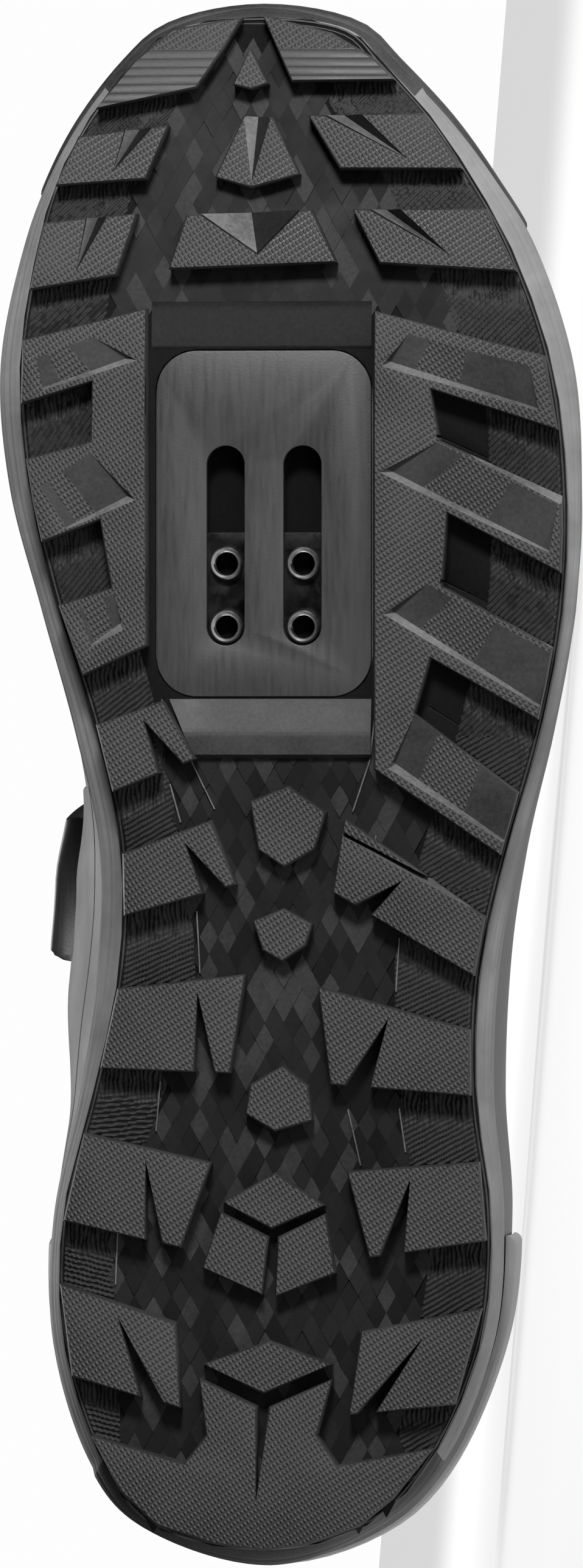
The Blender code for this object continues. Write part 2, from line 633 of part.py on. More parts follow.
def build_cleat_plate(parts, helpers):
    x, y = plate_centre()
    narrow = PLATE_WIDTH - 2 * GAP
    short = PLATE_LENGTH - 2 * GAP
    body = prism(rounded_rectangle(x, y, narrow, short, PLATE_CORNER - GAP), LUG_DEPTH, LUG_DEPTH + BASE)
    plate = new_object("cleat_plate", body, parts, NYLON, "nylon")
    slots = []
    for slot_x, slot_y in slot_centres():
        end_radius = (SLOT_WIDTH - SLOT_FLAT) / 2
        outline_points = rounded_rectangle(slot_x, slot_y, SLOT_WIDTH, SLOT_LENGTH, end_radius)
        slots.append(prism(outline_points, 0, 2 * (LUG_DEPTH + BASE)))
    cut(plate, helper("slots", merged(slots), helpers))
    baked(plate)
    follow_rise(plate, [LENGTH * (SPRING_START + step) for step in (0.0, 0.015, 0.030)])
    return plate


def nut_place():
    """The threaded plate's centre with its rear holes at the rear ends of the slots."""
    x, y = plate_centre()
    rear_hole = y - SLOT_BACK - SLOT_LENGTH / 2 + SLOT_WIDTH / 2
    return x, rear_hole + ROW_SPACING / 2


def nut_travel():
    return SLOT_LENGTH - SLOT_WIDTH - ROW_SPACING


def build_nut_plate(parts, helpers):
    x, y = nut_place()
    width = SLOT_SPACING + 2 * NUT_BORDER
    length = ROW_SPACING + 2 * NUT_BORDER
    low = LUG_DEPTH + BASE + GAP
    body = prism(rounded_rectangle(x, y, width, length, NUT_BORDER / 2, 2), low, low + NUT_WALL)
    nut = new_object("nut_plate", body, parts, STEEL, "steel")
    bosses = []
    bores = []
    for side_x in (1, -1):
        for side_y in (1, -1):
            centre_x = x + side_x * SLOT_SPACING / 2
            centre_y = y + side_y * ROW_SPACING / 2
            boss_height = BOSS_RISE + GAP + NUT_WALL / 2
            middle = low - GAP - BOSS_RISE + boss_height / 2
            bosses.append(cylinder(BOSS / 2, boss_height, (centre_x, centre_y, middle)))
            bores.append(cylinder(THREAD_BORE / 2, 6 * NUT_WALL, (centre_x, centre_y, low)))
    cut(nut, helper("bosses", merged(bosses), helpers), "UNION")
    cut(nut, helper("bores", merged(bores), helpers))
    return baked(nut)


def build_midsole(parts, helpers):
    rings = []
    for row in MIDSOLE_SIDE:

        def height(y, share=row.height):
            bottom = base_top(y) + GAP
            return bottom + (feather(y) - bottom) * share

        rings.append(ring(row.rim, height, SOLE_COLUMNS))
    midsole = new_object("midsole", stacked_rings(rings), parts, FOAM, "foam")
    x, y = nut_place()
    width = SLOT_SPACING + 2 * NUT_BORDER + 2 * CAVITY_CLEARANCE
    front = y + nut_travel() + ROW_SPACING / 2 + NUT_BORDER + CAVITY_CLEARANCE
    rear = y - ROW_SPACING / 2 - NUT_BORDER - CAVITY_CLEARANCE
    top = LUG_DEPTH + BASE + GAP + NUT_WALL + CAVITY_CLEARANCE
    room = [(x - width / 2, rear), (x + width / 2, rear), (x + width / 2, front), (x - width / 2, front)]
    cut(midsole, helper("nut_room", prism(room, LUG_DEPTH, top), helpers))
    return baked(midsole)


def build_insole(parts):
    """A thin footbed just inside the upper's wall."""
    rings = []
    for share in (0.0, 1.0):
        points = []
        for x, y, _ in ring(FOOT_LEVEL, feather, SOLE_COLUMNS):
            points.append(inward(x, y, WALL + 2 * GAP, share))
        rings.append(points)
    return new_object("insole", stacked_rings(rings), parts, FABRIC, "fabric")


def inward(x, y, margin, share):
    """Moves a point of the upper's foot line in towards the shoe's middle."""
    rear, front = (LENGTH * end for end in INSOLE_SPAN)
    middle = np.array([0.0, min(max(y, rear), front)])
    away = np.array([x, y]) - middle
    place = middle + away * (1 - INSOLE_EASE * margin / np.linalg.norm(away))
    return place[0], place[1], feather(place[1]) + 2 * GAP + share * INSOLE


def upper_columns():
    toe = np.linspace(0, VAMP, TOE_COLUMNS + 1)
    side = np.linspace(VAMP, 1, SIDE_COLUMNS + 1)[1:]
    right = np.concatenate([toe, side])
    return np.concatenate([-right[::-1], right[1:]])


def build_upper(parts):
    rows = [[wall(reach, up) for up in np.linspace(0, 1, WALL_ROWS + 1)] for reach in upper_columns()]
    return shell("upper", rows, WALL, False, parts, FABRIC, "fabric")


def build_guard(name, guard, parts, finish, finish_name):
    """An overlay on the upper's outer face, highest at the toe's or the heel's tip."""
    tip = round((guard.start + guard.end) / 2)
    half = max(tip - guard.start, guard.end - tip)
    rows = []
    for reach in np.linspace(guard.start, guard.end, guard.columns):
        height = guard.edge + guard.crest * math.cos(math.pi / 2 * abs(reach - tip) / half)
        wrapped = reach if reach <= 1 else reach - 2
        rows.append([lifted(wrapped, up, OVERLAY_GAP) for up in np.linspace(GUARD_FOOT, height, GUARD_ROWS)])
    return shell(name, rows, GUARD_WALL, True, parts, finish, finish_name)


def build_tongue(parts):
    """A padded tongue under the throat's edges, rising past the collar."""
    lift = -WALL - TONGUE_GAP
    reaches = np.linspace(*TONGUE_SPAN, TONGUE_COLUMNS)
    sections = []
    for reach in reaches:
        lap = TONGUE_LAP + (1 - TONGUE_LAP) / 4 * (reach - VAMP) / (THROAT_TOP - VAMP)
        sections.append(np.array(across_throat(reach, lap, lap, lift)))
    front_slope = wall(reaches[0], 1) - wall(reaches[1], 1)
    forward = np.array([0, 1, min(front_slope[2] / front_slope[1], 0)])
    nose = sections[0] + forward * TONGUE_NOSE - np.array([0, 0, OVERLAY_GAP])
    tip = sections[-1] - sections[-2]
    direction = tip.mean(axis=0) / np.linalg.norm(tip.mean(axis=0))
    crown = []
    for part in TONGUE_CROWN:
        row = sections[-1] + direction * part.climb * COLLAR_HEIGHT
        middle = row[:, 0].mean()
        row[:, 0] = middle + (row[:, 0] - middle) * part.width
        ridge = row[:, 2].max()
        row[:, 2] = ridge + (row[:, 2] - ridge) * part.sag
        crown.append(row)
    rows = [nose, *sections, *crown]
    return shell("tongue", rows[::-1], TONGUE_WALL, False, parts, FABRIC, "fabric")


def build_straps(parts):
    for strap in STRAPS:
        rows = []
        ends = strap.lateral_end, strap.medial_end
        for shift in np.linspace(-0.5, 0.5, 4) * strap.width * STRAP_WIDTH:
            rows.append(across_throat(strap.reach, *ends, STRAP_GAP, shift, strap.slant * STRAP_SLANT))
        shell(strap.name, rows[::-1], STRAP_WALL, True, parts, WEBBING, "webbing")
    instep = STRAPS[-1]
    half = instep.width * STRAP_WIDTH / 2 + KEEPER_OVERHANG
    rows = []
    for shift in np.linspace(-half, half, 5):
        row = []
        for up in np.linspace(*KEEPER_ENDS, 5):
            back = shift + slanted(instep.medial_end, instep.slant * STRAP_SLANT, up)
            row.append(lifted(beside(instep.reach, up, back), up, OVERLAY_GAP))
        rows.append(row)
    shell("strap_keeper", rows, KEEPER_WALL, True, parts, NYLON, "nylon")


def evaluated_points(obj):
    graph = bpy.context.evaluated_depsgraph_get()
    mesh = obj.evaluated_get(graph).to_mesh()
    mesh.calc_loop_triangles()
    points = np.array([vert.co for vert in mesh.vertices])
    faces = np.array([triangle.vertices for triangle in mesh.loop_triangles])
    obj.evaluated_get(graph).to_mesh_clear()
    return points, faces


def balance(objects):
    """All points of the pieces, and the place of their common balance point."""
    cloud = []
    weight = 0.0
    moment = np.zeros(3)
    for obj in objects:
        points, faces = evaluated_points(obj)
        corners = points[faces]
        volumes = np.einsum("ij,ij->i", corners[:, 0], np.cross(corners[:, 1], corners[:, 2])) / 6
        weight += volumes.sum() * obj["density"]
        moment += (volumes[:, None] * corners.sum(axis=1) / 4).sum(axis=0) * obj["density"]
        cloud.append(points)
    return np.concatenate(cloud), moment / weight


def resting_direction(objects):
    """The way that is down on the lateral side: the hull's face that lies under the balance point."""
    points, centre = balance(objects)
    bm = bmesh.new()
    for point in points:
        bm.verts.new(point)
    hull = bmesh.ops.convex_hull(bm, input=bm.verts)
    down = Vector((-1, 0, 0))
    for face in (item for item in hull["geom"] if isinstance(item, bmesh.types.BMFace)):
        face.normal_update()
        normal = face.normal.copy()
        if normal.dot(face.calc_center_median() - Vector(centre)) < 0:
            normal.negate()
        if normal.x > -0.8:
            continue
        drop = normal.dot(face.verts[0].co - Vector(centre))
        below = Vector(centre) + normal * drop
        corners = [vert.co for vert in face.verts]
        turns = []
        for start, end in zip(corners, corners[1:] + corners[:1]):
            turns.append((end - start).cross(below - start).dot(normal))
        if min(turns) >= -1e-12 or max(turns) <= 1e-12:
            down = normal
    bm.free()
    return down


def lay_down(objects, frame):
    """Turns the shoe onto its lateral side and puts the middle of its box's floor at the origin."""
    down = resting_direction(objects)
    toe = Vector((0, 1, 0))
    x_axis = (toe - down * toe.dot(down)).normalized()
    z_axis = -down
    y_axis = z_axis.cross(x_axis)
    turn = Matrix((x_axis, y_axis, z_axis))
    points = np.concatenate([evaluated_points(obj)[0] for obj in objects])
    turned = points @ np.array(turn).T
    low, high = turned.min(axis=0), turned.max(axis=0)
    shift = Vector((-(low[0] + high[0]) / 2, -(low[1] + high[1]) / 2, -low[2]))
    frame.matrix_world = Matrix.Translation(shift) @ turn.to_4x4()


def main():
    for obj in list(bpy.data.objects):
        bpy.data.objects.remove(obj, do_unlink=True)
    scene = bpy.context.scene
    parts = bpy.data.collections.new("cycling_shoe")
    helpers = bpy.data.collections.new("cutters")
    scene.collection.children.link(parts)
    scene.collection.children.link(helpers)
    build_outsole(parts, helpers)
    build_cleat_plate(parts, helpers)
    build_nut_plate(parts, helpers)
    build_midsole(parts, helpers)
    build_insole(parts)
    build_upper(parts)
    build_guard("toe_guard", TOE_GUARD, parts, RUBBER, "rubber")
    build_guard("heel_counter", HEEL_COUNTER, parts, SHELL, "shell")
    build_tongue(parts)
    build_straps(parts)
    for obj in list(helpers.objects):
        bpy.data.objects.remove(obj, do_unlink=True)
    bpy.context.view_layer.update()
    pieces = list(parts.objects)
    frame = bpy.data.objects.new("shoe_frame", None)
    parts.objects.link(frame)
    lay_down(pieces, frame)
    for obj in pieces:
        obj.parent = frame
    bpy.context.view_layer.update()


main()
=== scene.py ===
"""The looks of the cycling shoe: every visible surface, built in the shoe's own frame.

The shoe's frame has X to the medial side, Y to the toe and Z up, with the tread on z = 0.
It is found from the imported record: the sliding plate's axis and the cleat pocket's face.
"""

from collections import namedtuple
from functools import lru_cache
import json
import math
import random

import bmesh
import bpy
from mathutils import Matrix, Vector, noise
from mathutils.bvhtree import BVHTree
import numpy as np


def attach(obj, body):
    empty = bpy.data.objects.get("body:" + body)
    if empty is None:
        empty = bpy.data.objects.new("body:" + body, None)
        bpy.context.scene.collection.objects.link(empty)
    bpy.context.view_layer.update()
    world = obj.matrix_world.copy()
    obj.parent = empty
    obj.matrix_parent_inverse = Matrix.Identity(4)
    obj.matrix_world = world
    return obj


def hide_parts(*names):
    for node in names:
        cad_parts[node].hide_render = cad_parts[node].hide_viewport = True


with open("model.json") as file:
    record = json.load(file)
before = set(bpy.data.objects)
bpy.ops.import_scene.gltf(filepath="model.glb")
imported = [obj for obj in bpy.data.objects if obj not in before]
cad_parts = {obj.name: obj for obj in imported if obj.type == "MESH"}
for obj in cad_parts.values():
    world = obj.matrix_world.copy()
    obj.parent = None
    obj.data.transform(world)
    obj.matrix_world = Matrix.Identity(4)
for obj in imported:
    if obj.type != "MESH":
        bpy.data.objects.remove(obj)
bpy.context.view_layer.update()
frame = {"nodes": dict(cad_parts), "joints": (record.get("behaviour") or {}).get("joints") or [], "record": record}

MM = 0.001

# Sizes of the shoe that the solids were built from
LENGTH = 285 * MM
BALL_WIDTH = 106 * MM
COLLAR_HEIGHT = 88 * MM
TOE_SPRING = 18 * MM
HEEL_BEVEL = 4 * MM
SPRING_START = 0.735
BEVEL_END = 0.060
LUG_DEPTH = 5.5 * MM
CENTRE_LUG_DEPTH = 4.5 * MM
BASE = 2.6 * MM
RIM = 4 * MM
HEEL_STACK = 24 * MM
BALL_STACK = 15 * MM
TOE_STACK = 11 * MM
INSOLE = 3 * MM
WALL = 2.4 * MM
FOOT_LEVEL = 0.55
LEAN = 15 * MM
VAMP = 0.32
THROAT_TOP = 0.56
GUARD_WALL = 1.5 * MM
TONGUE_WALL = 4 * MM
TONGUE_LAP = 0.80
TONGUE_NOSE = 9 * MM
TONGUE_GAP = 0.8 * MM
STRAP_WIDTH = 24 * MM
STRAP_WALL = 1.8 * MM
KEEPER_WALL = 4.6 * MM
KEEPER_ENDS = (0.34, 0.585)
KEEPER_OVERHANG = 2.4 * MM
STRAP_SLANT = 8 * MM
PLATE_LENGTH = 63.4 * MM
PLATE_WIDTH = 39.7 * MM
PLATE_CORNER = 7.5 * MM
PLATE_ALONG = 0.666
PLATE_ACROSS = 0.018
SLOT_SPACING = 14 * MM
SLOT_WIDTH = 6.9 * MM
SLOT_LENGTH = 36.3 * MM
SLOT_BACK = 4 * MM
ROW_SPACING = 11.5 * MM
THREAD_BORE = 4.3 * MM
BOSS = 5.9 * MM
BOSS_RISE = 1.9 * MM
NUT_WALL = 2.4 * MM
NUT_BORDER = 5.6 * MM
CAVITY_CLEARANCE = 0.8 * MM
GAP = 0.3 * MM
OVERLAY_GAP = 0.5 * MM
STRAP_GAP = 0.7 * MM

# Knurling: rows of knobs at an angle in degrees, and the grooved stretch of the toe lugs
KNURL_ANGLE = 32
KNURL_ROW = 1.05 * MM
KNURL_STEP = 0.74 * MM
GROOVE_PITCH = 1.6 * MM
GROOVES_FROM = 265.2 * MM
GROOVES_TO = 276.6 * MM
MIDDLE_LUG = 3.7 * MM
MIDDLE_LUG_HALF = 3.6 * MM

# The tread's floor: a mosaic of rhombs in the middle and ribs in the side gaps
MOSAIC_SEED = 11
MOSAIC_WIDE = 3.4 * MM
MOSAIC_TALL = 6.2 * MM
MOSAIC_MARGIN = 1.2 * MM
RIB_CELL = 0.25 * MM
RIB_COLUMNS = 64
RIB_MARGIN = 0.9 * MM
RIB_PITCH = 0.90 * MM
DASH_PITCH = 0.80 * MM
RIB_HEIGHT = 0.45 * MM
RIB_FOOT = 0.03 * MM
LINE_HEIGHT = 0.75 * MM

# How far the floor's pieces are sunk in the base, and how deep a gap is to count as open
SUNK = 0.5 * MM
RIB_SUNK = 0.4 * MM
OPEN_WITHIN = 0.3 * MM

# Upper: skins sewn on its wall, the steps of a line over the foot, and single stitches
SEWN_LIFT = 0.05 * MM
SEWN_WALL = 0.9 * MM
THROAT_STEPS = 14
BRIDGE_STEPS = 16
BRIDGE_PULL = 0.36
STITCH = 2.1 * MM
STITCH_SPACE = 1.0 * MM
STITCH_WIDTH = 0.32 * MM

# Studio: lights in watts and metres, and the white room's strength as a light and as it is seen
FLOOR_RADIUS = 9.0
KEY_POWER = 14
KEY_SIZE = 0.24
KEY_PLACE = (-0.01, 0.85, -0.85)
TOP_POWER = 7
TOP_SIZE = 0.9
TOP_PLACE = (0.95, 0.1, 0.75)
LIGHT_TARGET = (0, 0.142, 0)
FLOOR_GLOW = 0.66
ROOM_LIGHT = 0.035
ROOM_SEEN = 0.985
CAMERA_LEAN = 4.5  # degrees, round to the lateral side
CAMERA_DISTANCE = 2.1
CAMERA_TARGET = (-3.55 * MM, 142.5 * MM, 0.0)
CAMERA_SENSOR = 36
CAMERA_TRIM = 1.007

# The photo's frame: its rows, one pixel in metres, the heel's row and the shoe's middle column
PHOTO_ROWS = 2576
PIXEL = 0.111 * MM
HEEL_ROW = 2572
MIDDLE_COLUMN = 447

Edge = namedtuple("Edge", "along medial lateral rim_medial rim_lateral")
OUTLINE = [
    Edge(0.028, 0.217, 0.160, 0.80, 0.60),
    Edge(0.067, 0.295, 0.264, 0.85, 0.55),
    Edge(0.144, 0.363, 0.354, 0.70, 0.40),
    Edge(0.223, 0.365, 0.372, 0.60, 0.35),
    Edge(0.302, 0.313, 0.346, 0.80, 0.60),
    Edge(0.379, 0.269, 0.352, 1.15, 0.70),
    Edge(0.456, 0.264, 0.397, 1.10, 0.50),
    Edge(0.533, 0.306, 0.456, 1.10, 0.40),
    Edge(0.612, 0.372, 0.495, 0.90, 0.50),
    Edge(0.690, 0.423, 0.501, 1.00, 0.60),
    Edge(0.768, 0.439, 0.475, 1.00, 0.90),
    Edge(0.846, 0.410, 0.399, 0.75, 1.05),
    Edge(0.884, 0.383, 0.340, 0.55, 0.95),
    Edge(0.923, 0.334, 0.271, 0.45, 0.70),
    Edge(0.963, 0.256, 0.175, 0.40, 0.55),
    Edge(0.984, 0.192, 0.118, 0.40, 0.45),
]
Tip = namedtuple("Tip", "along across rim")
HEEL_TIP = Tip(0.011, 0.018, 0.75)
TOE_TIP = Tip(0.993, 0.039, 0.40)

Top = namedtuple("Top", "reach along centre half height lean_medial lean_lateral shoulder drop")
TOPLINE = [
    Top(0.00, 0.955, 0.040, 0.000, 0.52, 0.04, 0.04, 0.60, 0.00),
    Top(0.08, 0.935, 0.050, 0.000, 0.55, 0.04, 0.06, 0.60, 0.00),
    Top(0.16, 0.885, 0.065, 0.000, 0.60, 0.05, 0.10, 0.60, 0.02),
    Top(0.24, 0.810, 0.075, 0.000, 0.66, 0.08, 0.14, 0.62, 0.03),
    Top(0.32, 0.705, 0.075, 0.000, 0.75, 0.12, 0.16, 0.62, 0.05),
    Top(0.36, 0.665, 0.070, 0.055, 0.79, 0.18, 0.17, 0.60, 0.08),
    Top(0.42, 0.600, 0.055, 0.085, 0.86, 0.38, 0.20, 0.55, 0.12),
    Top(0.50, 0.505, 0.035, 0.120, 0.99, 0.82, 0.28, 0.45, 0.20),
    Top(0.56, 0.440, 0.020, 0.175, 1.12, 1.27, 0.38, 0.35, 0.30),
    Top(0.62, 0.365, 0.005, 0.235, 1.02, 1.20, 0.46, 0.20, 0.35),
    Top(0.70, 0.280, 0.000, 0.275, 0.86, 0.56, 0.38, 0.15, 0.40),
    Top(0.78, 0.200, 0.000, 0.275, 0.80, 0.34, 0.28, 0.15, 0.40),
    Top(0.86, 0.120, 0.005, 0.245, 0.85, 0.28, 0.18, 0.20, 0.40),
    Top(0.93, 0.062, 0.010, 0.160, 0.94, 0.24, 0.24, 0.30, 0.45),
    Top(1.00, 0.035, 0.018, 0.000, 1.00, 0.22, 0.22, 0.40, 0.50),
]
WALL_RISE = 0.55

SideStep = namedtuple("SideStep", "height rim")
MIDSOLE_SIDE = [
    SideStep(0.00, 0.10),
    SideStep(0.22, 0.90),
    SideStep(0.48, 1.00),
    SideStep(0.54, 0.72),
    SideStep(0.60, 1.00),
    SideStep(1.00, 0.92),
]

# The cleat pocket between the rails, as shares of LENGTH and BALL_WIDTH, and how far the mosaic
# stays inside its ends: behind the rails' inner faces and beside them
POCKET_REAR = 0.512
POCKET_FRONT = 0.810
RAIL_INNER = 0.235
POCKET_EDGE = 0.012
RAIL_EDGE = 0.035

Notch = namedtuple("Notch", "front_in front_out mouth_from mouth_to tip")
# Forefoot lugs whose front edge opens in a sloping V: corners are (LENGTH, BALL_WIDTH) shares.
NOTCHES = [
    Notch((0.921, 0.186), (0.914, 0.345), 0.19, 0.46, (0.892, 0.278)),
    Notch((0.864, 0.236), (0.858, 0.404), 0.32, 0.51, (0.828, 0.338)),
    Notch((0.927, -0.054), (0.928, -0.265), 0.15, 0.43, (0.899, -0.225)),
    Notch((0.866, -0.134), (0.866, -0.365), 0.14, 0.35, (0.836, -0.303)),
    Notch((0.863, 0.151), (0.866, -0.064), 0.12, 0.90, (0.838, 0.028)),
]

Recess = namedtuple("Recess", "flush_in flush_out deep_out deep_in depth knurled")
# Shallow wedges sunk in the rails, in the photo's pixels: flush along one edge, deep along the
# other. knurled is the stretch of the wedge, from its inner end, that keeps the knurling.
RECESSES = [
    Recess((672, 552), (868, 606), (882, 676), (634, 597), 1.5, (0.18, 0.48)),
    Recess((718, 731), (914, 833), (900, 908), (634, 774), 1.5, (0.22, 0.62)),
    Recess((702, 962), (905, 1075), (885, 1160), (640, 1004), 1.4, (0.20, 0.55)),
    Recess((684, 1168), (860, 1305), (838, 1388), (644, 1252), 1.4, (0.22, 0.60)),
    Recess((150, 556), (60, 590), (70, 640), (214, 590), 1.1, (0.45, 0.80)),
    Recess((148, 746), (66, 800), (110, 868), (214, 815), 1.2, (0.55, 0.85)),
    Recess((188, 976), (130, 1000), (150, 1060), (200, 1024), 0.8, (0.30, 0.90)),
]

# A recess's lip, and how far the cutters reach into the tread and out past it
RECESS_LIP_INNER = 1.45 * MM
RECESS_LIP_OUTER = 0.45 * MM
CUTTER_START = 0.02 * MM
CUTTER_SKY = -3 * MM
CHAMFER_DEPTH = 3.6 * MM
CHAMFER_REACH = 0.5 * MM
NOTCH_SINK = 3.2 * MM
GROOVE_SINK = 2.2 * MM
GROOVE_CORNERS = ((391, 180), (441, 180), (408, 304))

# The tread's finishes by their slot: smooth rubber is slot 0, the floor's rubber is darkened as painted shade, and
# the facet in painted shade follows the one in painted highlight
TREAD_KNURLED = 1
TREAD_FLOOR = 2
TREAD_PAINTED_HIGHLIGHT = 3

Chamfer = namedtuple("Chamfer", "inner outer narrow wide")
# Slanted front walls: the edge's ends and the slant's widths, in the photo's pixels
CHAMFERS = [
    Chamfer((716, 722), (935, 822), 2, 20),
    Chamfer((722, 958), (918, 1056), 3, 20),
    Chamfer((700, 1164), (890, 1285), 3, 20),
    Chamfer((628, 504), (900, 573), 2, 14),
    Chamfer((552, 1365), (850, 1522), 3, 12),
]

# The tread floor: inside these limits it is a mosaic of facets, outside it is ribbed.
# Limits are shares of BALL_WIDTH from the middle.
Zone = namedtuple("Zone", "along medial lateral")
ZONES = [
    Zone(0.02, 0.26, 0.21),
    Zone(0.10, 0.265, 0.215),
    Zone(0.195, 0.275, 0.262),
    Zone(0.285, 0.205, 0.218),
    Zone(0.380, 0.135, 0.205),
    Zone(0.470, 0.165, 0.262),
    Zone(0.550, 0.205, 0.325),
    Zone(0.640, 0.275, 0.370),
    Zone(0.730, 0.310, 0.365),
    Zone(0.800, 0.290, 0.300),
    Zone(0.870, 0.255, 0.205),
    Zone(0.935, 0.170, 0.085),
]

Strap = namedtuple("Strap", "name reach width lateral_end medial_end slant")
STRAPS = [
    Strap("strap_toe", 0.385, 0.75, 0.55, 0.50, 0.0),
    Strap("strap_middle", 0.450, 0.75, 0.52, 0.48, 0.0),
    Strap("strap_instep", 0.522, 1.00, 0.45, 0.60, 1.0),
]
Crown = namedtuple("Crown", "climb width sag")
TONGUE_CROWN = [
    Crown(0.05, 0.86, 0.85),
    Crown(0.11, 0.80, 0.66),
    Crown(0.18, 0.76, 0.50),
    Crown(0.25, 0.62, 0.40),
]

RibGap = namedtuple("RibGap", "row medial lateral")
# Down to a row of the photo, the ribs' slant on the two sides, in degrees
RIB_GAPS = [
    RibGap(560, 45, 45),
    RibGap(800, 58, 45),
    RibGap(1040, 52, 45),
    RibGap(1210, 38, 45),
    RibGap(1460, 30, 30),
    RibGap(1700, 24, 25),
    RibGap(1960, 6, 28),
    RibGap(2576, -14, 30),
]

PocketStep = namedtuple("PocketStep", "row proud")
# How far the floor behind and before the plate stands proud of it, in millimetres, at rows of
# the photo. Its limits are columns of the photo, on the medial side of the ramp by rows.
POCKET_RAMP = [
    PocketStep(1149, 0.00), PocketStep(1152, 0.10), PocketStep(1203, 1.95),
    PocketStep(1209, 2.05), PocketStep(1240, 2.05), PocketStep(1246, 0.30),
]
POCKET_APRON = [
    PocketStep(497, 0.05), PocketStep(500, 0.75), PocketStep(506, 0.55),
    PocketStep(560, 0.45), PocketStep(572, 0.35), PocketStep(576, 0.00),
]
POCKET_MEDIAL = 245
POCKET_LATERAL = 606
RAMP_MEDIAL = [(1090, 249), (1121, 262), (1207, 300), (1272, 331), (1349, 350)]

# Thin lines on the floor, in the photo's pixels
FLOOR_LINES = [
    [(262, 1150), (330, 1290), (352, 1335)],
    [(612, 1182), (604, 1250), (572, 1345)],
    [(276, 1288), (296, 1360)],
    [(320, 1496), (326, 1612)],
    [(614, 1372), (606, 1450)],
    [(652, 1540), (646, 1640)],
    [(260, 1775), (252, 1868)],
    [(568, 1820), (592, 1925)],
    [(190, 2018), (186, 2120)],
    [(652, 1818), (664, 1900)],
]


def smooth(rows, key, name, value):
    """A column of a table at a value of its key, without overshoot between its rows."""
    keys = np.array([getattr(row, key) for row in rows])
    column = np.array([getattr(row, name) for row in rows])
    slopes = np.diff(column) / np.diff(keys)
    bends = np.zeros(len(keys))
    same = slopes[:-1] * slopes[1:] > 0
    total = slopes[:-1] + slopes[1:]
    bends[1:-1][same] = 2 * slopes[:-1][same] * slopes[1:][same] / total[same]
    bends[0] = slopes[0]
    bends[-1] = slopes[-1]
    value = min(max(value, keys[0]), keys[-1])
    i = min(int(np.searchsorted(keys, value, side="right")) - 1, len(keys) - 2)
    step = keys[i + 1] - keys[i]
    t = (value - keys[i]) / step
    start = (2 * t**3 - 3 * t**2 + 1) * column[i] + (t**3 - 2 * t**2 + t) * step * bends[i]
    end = (3 * t**2 - 2 * t**3) * column[i + 1] + (t**3 - t**2) * step * bends[i + 1]
    return float(start + end)


def blend(start, end, value):
    t = min(max((value - start) / (end - start), 0.0), 1.0)
    return t * t * (3 - 2 * t)


def rise(y):
    """How far the tread lies above the ground plane: the toe spring and the heel's bevel."""
    share = y / LENGTH
    spring = TOE_SPRING * max(0.0, (share - SPRING_START) / (1 - SPRING_START)) ** 1.8
    bevel = HEEL_BEVEL * max(0.0, (BEVEL_END - share) / BEVEL_END) ** 2
    return spring + bevel


def base_top(y):
    return rise(y) + LUG_DEPTH + BASE


def feather(y):
    """Height of the line where the upper meets the midsole."""
    share = y / LENGTH
    stack = HEEL_STACK + (BALL_STACK - HEEL_STACK) * blend(0.20, 0.62, share)
    return rise(y) + stack + (TOE_STACK - BALL_STACK) * blend(0.80, 1.0, share)


def centripetal(before, start, end, after, t):
    """A point between start and end of a Catmull-Rom curve that keeps tight bends clean."""
    knots = [0.0]
    for a, b in ((before, start), (start, end), (end, after)):
        knots.append(knots[-1] + math.sqrt(max(np.linalg.norm(b - a), 1e-9)))
    k0, k1, k2, k3 = knots
    k = k1 + (k2 - k1) * t
    a1 = before + (start - before) * (k - k0) / (k1 - k0)
    a2 = start + (end - start) * (k - k1) / (k2 - k1)
    a3 = end + (after - end) * (k - k2) / (k3 - k2)
    b1 = a1 + (a2 - a1) * (k - k0) / (k2 - k0)
    b2 = a2 + (a3 - a2) * (k - k1) / (k3 - k1)
    return b1 + (b2 - b1) * (k - k1) / (k2 - k1)


@lru_cache(maxsize=None)
def outline(level):
    """The half outlines from toe tip to heel tip, medial and lateral, at a share of the rim."""
    points = [(HEEL_TIP.across * BALL_WIDTH, HEEL_TIP.along * LENGTH - level * HEEL_TIP.rim * RIM)]
    for row in OUTLINE:
        points.append((row.medial * BALL_WIDTH + level * row.rim_medial * RIM, row.along * LENGTH))
    points.append((TOE_TIP.across * BALL_WIDTH, TOE_TIP.along * LENGTH + level * TOE_TIP.rim * RIM))
    for row in reversed(OUTLINE):
        points.append((-row.lateral * BALL_WIDTH - level * row.rim_lateral * RIM, row.along * LENGTH))
    points = np.array(points)
    count = len(points)
    toe = len(OUTLINE) + 1
    curve = []
    for i in range(count):
        before, start, end, after = (points[(i + k) % count] for k in (-1, 0, 1, 2))
        for t in np.arange(12) / 12:
            curve.append(centripetal(before, start, end, after, t))
    curve = np.array(curve + [curve[0]])
    medial = curve[: toe * 12 + 1][::-1]
    lateral = curve[toe * 12 :]
    halves = []
    for half in (medial, lateral):
        lengths = np.concatenate([[0], np.cumsum(np.linalg.norm(np.diff(half, axis=0), axis=1))])
        halves.append((lengths / lengths[-1], half))
    return halves


def edge_point(reach, level):
    """A point of the outline: reach runs from -1 (heel) over the lateral side to 0 (toe) to 1."""
    reach = (reach + 1) % 2 - 1 if abs(reach) > 1 else reach
    shares, half = outline(level)[0 if reach >= 0 else 1]
    x = np.interp(abs(reach), shares, half[:, 0])
    y = np.interp(abs(reach), shares, half[:, 1])
    return np.array([x, y])


@lru_cache(maxsize=None)
def half_width(along, medial):
    """The tread's half width at a share of the length, positive on both sides."""
    half = outline(0.0)[0 if medial else 1][1]
    order = np.argsort(half[:, 1])
    return abs(float(np.interp(along * LENGTH, half[order, 1], half[order, 0])))


